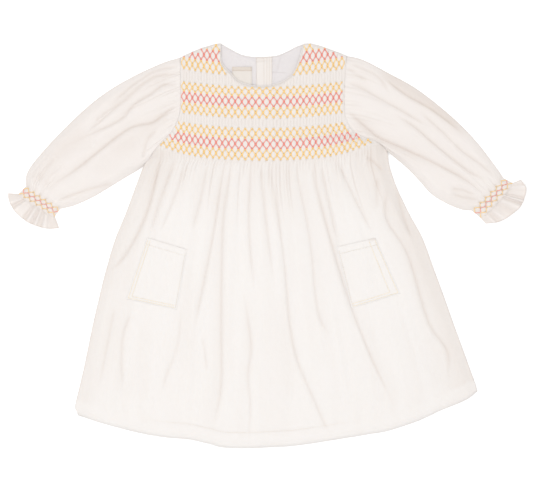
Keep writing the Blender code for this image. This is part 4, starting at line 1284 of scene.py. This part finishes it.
class DRESS_OT_back(bpy.types.Operator):
    """Build the back skirt and the two yokes that meet at the opening."""

    bl_idname = "dress.back"
    bl_label = "Back"

    def execute(self, context):
        back_top = top_edge(offset_line(BACK_NECK, BINDING_WIDTH - 0.1))
        opening = OPENING_X - SEAM / 2
        down = np.linspace(0, 1, YOKE_ROWS + 1)[:, None]
        share = np.linspace(0, 1, YOKE_COLUMNS + 1)[None, :]
        for name, x0, x1, side, outline in (
            ("back_yoke_right", BACK_SIDES[0], opening - SEAM / 2, right_side, BACK_SIDES[0]),
            ("back_yoke_left", opening + SEAM / 2, BACK_SIDES[1], left_side, BACK_SIDES[1]),
        ):
            straight = x0 + (x1 - x0) * share
            head = back_top(straight) - 0.2
            y = head + (YOKE_SEAM + SEAM - head) * down
            flare = np.clip((straight - opening) / (outline - opening), 0, 1) ** 3
            x = straight + (side(y) - outline) * smooth(0, 1, flare)
            self.lay(name, x, y, YOKE_WALL, (abs(outline - opening) * MM + 0.035, 0.15))
        across = np.linspace(0, 1, BACK_COLUMNS + 1)[None, :]
        down = np.linspace(0, 1, BACK_ROWS + 1)[:, None]
        hem = hem_height(HEM[0][0] + (HEM[-1][0] - HEM[0][0]) * across) + 1.0
        y = YOKE_SEAM + (hem - YOKE_SEAM) * down
        x = right_side(y) + (left_side(y) - right_side(y)) * across
        self.lay("back_skirt", x, y, BACK_WALL, (0.51, 0.36))
        return {"FINISHED"}

    def lay(self, name, x, y, wall, flat):
        """Cloth lying on the floor, its underside in shallow soft folds that widen down the skirt."""
        tall, wide, long, seed = BACK_FOLD
        lift = BUTTON_LIFT * button_lift(x, y)
        waves = (x - SMOCK_MIDDLE) / (wide + (YOKE_SEAM - y) * 0.05) + 20
        fold = tall * (1 + wander(waves, y / long, seed)) * smooth(0, 8, from_sides(x, y))
        fold *= smooth(0, 12, y - hem_height(x))
        low = np.stack([x, y, lift + fold], axis=2)
        high = np.stack([x, y, lift + wall], axis=2)
        piece = shell_object(name + "_cloth", high[::2, ::2], low[::2, ::2])
        finished(piece, "cream_cotton", name)


def neck_stitching(x, y):
    """Painted shade in the grooves of the stand's sewn lines: narrow strips down it, a double row across its
    top, and its two edges.
    """
    down_lines = [line_shade(x - OPENING_X - place) for place in STAND_LINES]
    across = sum(line_shade(y - place) for place in STAND_CROSS_LINES) * (x < OPENING_X + STAND_LINES[0])
    edges = 1.3 * line_shade(x - OPENING_X) + 1.6 * line_shade(x - OPENING_X - STAND_WIDTH)
    return STAND_SHADE * np.clip(sum(down_lines) + 0.8 * across + edges, 0, 1.6)


def lining_lines(x, y):
    """Painted shade along the linings' own lines: a seam below the neck and a soft fold line, both slanting.
    """
    seam_x, seam_y = LINING_SEAM
    seam = line_shade(y - seam_y + 0.06 * (x - seam_x)) * smooth(5, 8, x) * (1 - smooth(20, 32, x))
    crease_x, crease_y = LINING_CREASE
    crease_shade = line_shade(x - crease_x - 0.25 * (y - crease_y), 1.4)
    crease_shade = crease_shade * smooth(218, 226, y) * (1 - smooth(236, 242, y))
    return 0.30 * seam + 0.22 * crease_shade


class DRESS_OT_neck(bpy.types.Operator):
    """Build what shows inside the neck: linings, button stand, label and the narrow binding."""

    bl_idname = "dress.neck"
    bl_label = "Neck"

    def execute(self, context):
        inside = YOKE_WALL + SEAM
        stand_end = OPENING_X + STAND_WIDTH
        lining_foot = NECK_BACK - FACING_DEPTH
        for name, x0, x1, foot, cloth, slot in (
            ("button_stand", OPENING_X, stand_end, YOKE_SEAM + 3.0, "placket_cotton_in_shade", "cotton"),
            ("neck_lining_right", LINING_SIDES[0], OPENING_X + 0.2, lining_foot, "white_lining_in_shade", "lining"),
            ("neck_lining_left", stand_end - 0.2, LINING_SIDES[1], lining_foot, "white_lining_in_shade", "lining"),
        ):
            self.panel(name, x0, x1, foot, inside, cloth, slot)
        self.label(inside + LINING_WALL + SEAM)
        front = evenly(offset_line(FRONT_NECK, BINDING_WIDTH / 2), 180)
        low = chest_inside(front[:, 0], front[:, 1]) + 0.1
        self.strip("neck_binding_front", front, low, FRONT_BINDING_HEIGHT)
        back = offset_line(BACK_NECK, BINDING_WIDTH / 2)
        middle = OPENING_X + STAND_WIDTH / 2
        for name, part in (
            ("neck_binding_back_right", back[back[:, 0] < middle - SEAM / 4]),
            ("neck_binding_back_left", back[back[:, 0] > middle + SEAM / 4]),
        ):
            path = evenly(part, 80)
            self.strip(name, path, np.full(len(path), 0.1), BINDING_HEIGHT)
        return {"FINISHED"}

    def panel(self, name, x0, x1, foot, inside, cloth, slot):
        """Cloth from the back's top edge down to its foot, softly uneven, with its lines sewn in as shallow
        grooves darkened with painted shade, and painted shade along its top edge.
        """
        down = np.linspace(0, 1, NECK_ROWS + 1)[:, None]
        x = np.linspace(x0, x1, NECK_COLUMNS + 1)[None, :]
        head = BACK_TOP(x)
        y = head + (foot - head) * down
        x = np.broadcast_to(x, y.shape)
        floor = inside + BUTTON_LIFT * button_lift(x, y)
        stand = name == "button_stand"
        soft = 0.3 * wander(x / 13 + 9, y / 17, 41) + 0.15 * wander(x / 5 + 9, y / 11, 43)
        soft += STAND_RISE * stand + 0.5 * (1 - smooth(0, 4, head - y))
        shade = neck_stitching(x, y) if stand else lining_lines(x, y)
        shade = np.maximum(shade, NECK_EDGE_SHADE * line_shade(head - y, 1.1))
        piece = slab(name, x, y, floor + LINING_WALL + soft - 0.3 * shade, floor, shade)
        finished(piece, cloth, name)

    def label(self, inside):
        """A bare woven label: its top strip is folded down, with painted shade along the fold line, and a
        line runs along each side.
        """
        x0, x1, y0, y1 = LABEL
        x, y = np.meshgrid(np.linspace(x0, x1, 81), np.linspace(y1, y0, 81))
        floor = inside + BUTTON_LIFT * button_lift(x, y)
        fold = smooth(LABEL_FOLD + 0.3, LABEL_FOLD - 0.3, y1 - y)
        sides = np.minimum(x - x0, x1 - x)
        # the folded strip and the side lines darken the label's colour, and the line along the fold is
        # painted shade
        shade = 0.5 * fold + 0.9 * line_shade(y1 - y - LABEL_FOLD, 0.4) + 0.5 * line_shade(sides - 1.0, 0.35)
        high = floor + LABEL_WALL + 0.4 * fold - 0.15 * shade
        piece = slab("label", x, y, high, floor, np.clip(shade, 0, 1))
        finished(piece, "woven_label", "label")

    def strip(self, name, path, low, tall):
        """A folded strip swept along a path: a rounded oblong section, standing on its low z."""
        turn = np.linspace(0, 2 * np.pi, 12, endpoint=False)
        along = np.gradient(path, axis=0)
        along /= np.linalg.norm(along, axis=1)[:, None]
        aside = np.stack([along[:, 1], -along[:, 0]], axis=1)
        wide = BINDING_WIDTH / 2 * np.sign(np.cos(turn)) * np.abs(np.cos(turn)) ** 0.5
        high = tall / 2 * (1 + np.sign(np.sin(turn)) * np.abs(np.sin(turn)) ** 0.5)
        places = path[:, None] + aside[:, None] * wide[None, :, None]
        z = low[:, None] + high[None, :]
        rings = np.concatenate([places, z[..., None]], axis=2)
        # painted shade over the whole binding
        shade = np.full(z.shape, BINDING_SHADE)
        piece = add_mesh(name + "_cloth", rings, tube_faces(len(path), len(turn)), shade=shade)
        finished(piece, "cream_cotton", name)


class DRESS_OT_sleeves(bpy.types.Operator):
    """Build both sleeves: gathered caps, long folds, smocked cuffs and fluted ruffles."""

    bl_idname = "dress.sleeves"
    bl_label = "Sleeves"

    def execute(self, context):
        for name, size in SLEEVES.items():
            x, y, z, _, shade = sleeve_surface(size)
            under = sleeve_under(x, y)
            around = np.concatenate([np.stack([x, y, z], axis=2), under], axis=1)
            shade = np.hstack([shade, np.zeros(under.shape[:2])])
            index = np.arange(shade.size).reshape(shade.shape)
            faces = grid_faces(np.hstack([index, index[:, :1]]))[:, :: -size["side"]].tolist()
            piece = add_mesh(name + "_cloth", around, faces, shade=shade, closed=False)
            wall = piece.modifiers.new("Wall", "SOLIDIFY")
            wall.thickness = SLEEVE_WALL * MM
            wall.offset = -1
            wall.use_even_offset = False
            finished(piece, "sleeve_cotton_warm_shade", name)
        return {"FINISHED"}


class DRESS_OT_pockets(bpy.types.Operator):
    """Build the two patch pockets on the skirt, hemmed at the top and stitched on the other edges."""

    bl_idname = "dress.pockets"
    bl_label = "Pockets"

    def execute(self, context):
        for name in POCKETS:
            x, y, z, shade = pocket_surface(name)
            piece = slab(name, x, y, z, z - POCKET_WALL, shade)
            finished(piece, "double_cotton", name)
        return {"FINISHED"}


def pocket_surface(name):
    """x, y, z and painted shade of a pocket's outside on a grid, down from its mouth, across from its outer
    side.

    z is the front's height, smoothed over a window away from the stitches, plus a rounded wall,
    the hem's step and grooves under the stitches.
    """
    share = np.linspace(0, 1, POCKET_STEPS + 1)
    down, over = np.meshgrid(share, share, indexing="ij")
    outer_top, inner_top, inner_foot, outer_foot = (np.array(corner) for corner in POCKETS[name])
    top = (1 - over)[..., None] * outer_top + over[..., None] * inner_top
    foot = (1 - over)[..., None] * outer_foot + over[..., None] * inner_foot
    plan = (1 - down)[..., None] * top + down[..., None] * foot
    x, y = plan[..., 0], plan[..., 1]
    base = front_height(x, y)
    reach = POCKET_STEPS // 10
    padded = np.pad(base, reach, mode="edge")
    windows = np.lib.stride_tricks.sliding_window_view(padded, (2 * reach + 1, 2 * reach + 1))
    smoothed = np.maximum(windows.mean(axis=(2, 3)), base) + 0.3
    tall = np.linalg.norm(outer_foot - outer_top)
    wide = np.linalg.norm(inner_top - outer_top)
    edge = np.minimum(np.minimum(over, 1 - over) * wide, np.minimum(down, 1 - down) * tall)
    sewn = np.minimum(np.minimum(over, 1 - over) * wide, (1 - down) * tall)
    base = base + (smoothed - base) * smooth(1, 9, sewn)
    rounded = smooth(0, 2.2, edge)
    hem = 0.4 * (1 - smooth(POCKET_HEM - 0.8, POCKET_HEM, down * tall))
    outer_side, foot_side = over * wide, (1 - down) * tall
    groove = line_shade(sewn - POCKET_EDGE, 0.8)
    groove = np.maximum(groove, line_shade(outer_side - POCKET_STRIPS[name], 0.8))
    groove = np.maximum(groove, line_shade(foot_side - POCKET_FOOT, 0.8) * smooth(0, 3, outer_side))
    soft = 0.35 * wander(over * 3.1, down * 3.7, 61) * smooth(3, 12, edge)
    z = base + POCKET_WALL * (0.05 + 0.5 * rounded) + hem - 0.2 * groove + soft
    # painted shadow along the mouth, and painted shade in the notch where the left pocket's corner folds
    # over
    mouth = line_shade(down * tall, 1.0) * smooth(-0.3, 0.4, wander(over * 9, down, 71))
    notch = line_shade(down * tall, 2.5) * (1 - smooth(3, 8, np.abs(outer_side - 4)))
    notch = notch * (name == "pocket_left")
    shade = sum(share * place for share, place in zip(POCKET_SHADES, (mouth, notch, groove)))
    return x, y, z, np.clip(shade, 0, 1)


class DRESS_OT_smocking(bpy.types.Operator):
    """Work the zigzag threads over the front's bands and the cuffs."""

    bl_idname = "dress.smocking"
    bl_label = "Smocking threads"

    def execute(self, context):
        width = context.scene.dress_threads.smocking_width
        found = {"yellow": [], "red": []}
        for first, last in BANDS:
            for row in range(first, last):
                found[BAND_THREADS[row - first]] += [*self.front_lines(row), *self.front_knots(row)]
        for thread, lines in found.items():
            rings = thread_rings(np.array(lines), width, width * 0.6)
            finished(many_tubes(f"smocking_{thread}", rings), SMOCKING_THREADS[thread])
        for name, size in SLEEVES.items():
            x, y, z, level, _ = sleeve_surface(size)
            for row, thread in enumerate(CUFF_THREADS):
                lines = self.cuff_lines(x, y, z, level, row)
                rings = thread_rings(lines, 0.75 * width, 0.5 * width)
                piece = many_tubes(f"{name}_cuff_thread_{row + 1}", rings)
                finished(piece, SMOCKING_THREADS[thread])
        return {"FINISHED"}

    def segments(self, first, last, row, points=8):
        """Pleat and level along each zigzag segment: crest after crest, down and up in turn."""
        number = np.arange(first, last)[:, None]
        share = np.linspace(-0.02, 1.02, points)[None, :]
        going_down = (number + row) % 2 == 1
        level = row + np.where(going_down, share, 1 - share)
        return number, level

    def on_front(self, pleat, level):
        """x, y and z on the front, and which lines lie clear of its edges."""
        x = pleat_x(pleat)
        y = level_height(level, x)
        clear = from_sides(x, y).min(axis=1) > 0.8
        clear &= (FRONT_TOP(x) - y).min(axis=1) > 0.3
        x, y = x[clear], y[clear]
        z = np.maximum(front_height(x - THREAD_REST, y), front_height(x + THREAD_REST, y))
        return x, y, z, clear

    def front_lines(self, row):
        """The segments of one zigzag that lie on the cloth, each a line of points on its crest."""
        number, level = self.segments(-EXTRA_PLEATS, PLEATS + EXTRA_PLEATS, row)
        pleat = number + 0.5 + PLEAT_PULL * 0.9 * zigzag(number + level)
        x, y, z, clear = self.on_front(pleat, level)
        lifted = z + THREAD_LIFT + 0.2 * np.sin(np.pi * np.clip(level[clear] - row, 0, 1))
        return np.stack([x, y, lifted], axis=2)

    def front_knots(self, row, points=8):
        """Short stitches across each joint of two crests, at the top and the foot of one zigzag."""
        valleys = np.arange(-EXTRA_PLEATS, PLEATS + EXTRA_PLEATS)
        level, valley = np.meshgrid((row, row + 1), valleys, indexing="ij")
        joint = (valley + level) % 2 == 1
        valley = valley[joint][:, None]
        level = (level + np.where(level == row, 0.07, -0.07))[joint][:, None]
        pleat = valley + np.linspace(-0.26, 0.26, points)[None, :]
        x, y, z, _ = self.on_front(pleat, np.broadcast_to(level, pleat.shape))
        top = z.max(axis=1, keepdims=True) + KNOT_LIFT
        lifted = top + 0.25 * np.cos(np.linspace(-np.pi / 2, np.pi / 2, points))[None, :]
        return np.stack([x, y, lifted], axis=2)

    def cuff_lines(self, x, y, z, level, row):
        """The segments of one zigzag round a cuff's top, found on the sleeve's own grid."""
        number, wanted = self.segments(0, SLEEVE_PLEATS, row)
        pleat = number + 0.5 + PLEAT_PULL * 0.9 * zigzag(number + wanted)
        across = pleat / SLEEVE_PLEATS * (x.shape[1] - 1)
        down = np.interp(wanted, level[:, 0], np.arange(len(level)))
        i = np.clip(np.floor(down), 0, x.shape[0] - 2).astype(int)
        j = np.clip(np.floor(across), 0, x.shape[1] - 2).astype(int)
        s, t = down - i, across - j

        def sample(grid):
            """A grid's values at those places, blended between its points."""
            low = grid[i, j] * (1 - s) + grid[i + 1, j] * s
            high = grid[i, j + 1] * (1 - s) + grid[i + 1, j + 1] * s
            return low * (1 - t) + high * t

        lift = CUFF_THREAD_LIFT + 0.25 * np.sin(np.pi * np.clip(wanted - row, 0, 1))
        return np.stack([sample(x), sample(y), sample(z) + lift], axis=2)


class DRESS_OT_sewing(bpy.types.Operator):
    """Sew the hem and the pockets with small raised stitches."""

    bl_idname = "dress.sewing"
    bl_label = "Sewing"

    def execute(self, context):
        across = np.linspace(-0.985, 0.985, 600)
        x = column_x(across, HEM_ABOUT)
        for _ in range(3):
            y = hem_height(x) + HEM_DEPTH
            x = column_x(across, y)
        path = np.stack([x, y, front_height(x, y) + STITCH_LIFT], axis=1)
        finished(stitches("hem_stitches", path, *HEM_STITCH), "cream_thread")
        for name in POCKETS:
            x, y, z, _ = pocket_surface(name)
            grid = np.stack([x, y, z + STITCH_LIFT], axis=2)
            tall = np.hypot(x[-1, 0] - x[0, 0], y[-1, 0] - y[0, 0]) / POCKET_STEPS
            wide = np.hypot(x[0, -1] - x[0, 0], y[0, -1] - y[0, 0]) / POCKET_STEPS
            edge, strip = round(POCKET_EDGE / wide), round(POCKET_STRIPS[name] / wide)
            hem = round(POCKET_HEM / tall)
            foot = POCKET_STEPS - round(POCKET_EDGE / tall)
            above = POCKET_STEPS - round(POCKET_FOOT / tall)
            for row, path, thread in (
                ("outer", np.vstack([grid[edge:foot, edge], grid[foot, edge:-edge]]), "tan_thread"),
                ("second", np.vstack([grid[edge:above, strip], grid[above, strip:-edge]]), "tan_thread"),
                ("inner", grid[foot:edge:-1, -edge - 1], "cream_thread"),
                ("hem", grid[hem, edge:-edge], "cream_thread"),
            ):
                finished(stitches(f"{name}_{row}_stitches", path, *POCKET_STITCH), thread)
        return {"FINISHED"}


class DRESS_OT_buttons(bpy.types.Operator):
    """Give the part's own three buttons, in the back opening, their pearly shell."""

    bl_idname = "dress.buttons"
    bl_label = "Buttons"

    def execute(self, context):
        pearl = shell_material("button_pearl", PEARL, PEARL_SHADE)
        for number in range(1, len(BUTTONS) + 1):
            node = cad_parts[f"button_{number}"]
            node.data.materials.clear()
            node.data.materials.append(pearl)
        return {"FINISHED"}


class DRESS_OT_stage(bpy.types.Operator):
    """Set up the pale floor, the soft lights and the camera above the dress."""

    bl_idname = "dress.stage"
    bl_label = "Stage"

    def execute(self, context):
        settings = context.scene.dress_stage
        steps = np.linspace(-FLOOR_REACH, FLOOR_REACH, 31)
        x, y = np.meshgrid(steps, steps[::-1])
        points = np.stack([x, y, np.full(x.shape, FLOOR_HEIGHT)], axis=2)
        floor = add_mesh("floor", points, grid_faces(np.arange(x.size).reshape(x.shape)).tolist())
        material, _, _, shader = new_material("pale_floor")
        set_inputs(shader, Base_Color=(*settings.floor_shade, 1), Roughness=0.9)
        floor.data.materials.append(material)

        for (name, place, size), power in zip(LIGHTS, (settings.key_power, settings.fill_power)):
            lamp = bpy.data.lights.new(name, "AREA")
            lamp.shape = "DISK"
            lamp.size = size
            lamp.energy = power
            light = bpy.data.objects.new(name, lamp)
            context.scene.collection.objects.link(light)
            light.location = place
            light.rotation_euler = (-light.location).to_track_quat("-Z", "Y").to_euler()
        world = bpy.data.worlds.new("surround")
        world.use_nodes = True
        set_inputs(world.node_tree.nodes["Background"], Color=(1, 1, 1, 1), Strength=settings.sky)
        context.scene.world = world

        lens = bpy.data.cameras.new("camera")
        lens.sensor_width = 36
        lens.lens = 36 * settings.camera_distance / VIEW_WIDTH
        camera = bpy.data.objects.new("camera", lens)
        context.scene.collection.objects.link(camera)
        camera.location = (*VIEW_CENTRE, settings.camera_distance)
        context.scene.camera = camera
        context.scene.view_settings.view_transform = "Standard"
        return {"FINISHED"}


class DRESS_PT_panel(bpy.types.Panel):
    """The dress's settings and its building steps."""

    bl_label = "Smocked Dress"
    bl_idname = "DRESS_PT_panel"
    bl_space_type = "VIEW_3D"
    bl_region_type = "UI"
    bl_category = "Dress"

    def draw(self, context):
        for settings in (context.scene.dress_cloth, context.scene.dress_threads, context.scene.dress_stage):
            box = self.layout.box()
            for name in settings.bl_rna.properties.keys():
                if name not in {"rna_type", "name"}:
                    box.prop(settings, name)
        for step in STEPS:
            self.layout.operator(step.bl_idname)


STEPS = (
    DRESS_OT_back,
    DRESS_OT_neck,
    DRESS_OT_front,
    DRESS_OT_sleeves,
    DRESS_OT_pockets,
    DRESS_OT_smocking,
    DRESS_OT_sewing,
    DRESS_OT_buttons,
    DRESS_OT_stage,
)
SETTINGS = (DressClothSettings, DressThreadSettings, DressStageSettings)


def register():
    for group in (*SETTINGS, *STEPS, DRESS_PT_panel):
        bpy.utils.register_class(group)
    bpy.types.Scene.dress_cloth = bpy.props.PointerProperty(type=DressClothSettings)
    bpy.types.Scene.dress_threads = bpy.props.PointerProperty(type=DressThreadSettings)
    bpy.types.Scene.dress_stage = bpy.props.PointerProperty(type=DressStageSettings)


def unregister():
    del bpy.types.Scene.dress_stage
    del bpy.types.Scene.dress_threads
    del bpy.types.Scene.dress_cloth
    for group in reversed((*SETTINGS, *STEPS, DRESS_PT_panel)):
        bpy.utils.unregister_class(group)


def main():
    register()
    bpy.ops.dress.back()
    bpy.ops.dress.neck()
    bpy.ops.dress.front()
    bpy.ops.dress.sleeves()
    bpy.ops.dress.pockets()
    bpy.ops.dress.smocking()
    bpy.ops.dress.sewing()
    bpy.ops.dress.buttons()
    bpy.ops.dress.stage()


if __name__ == "__main__":
    main()
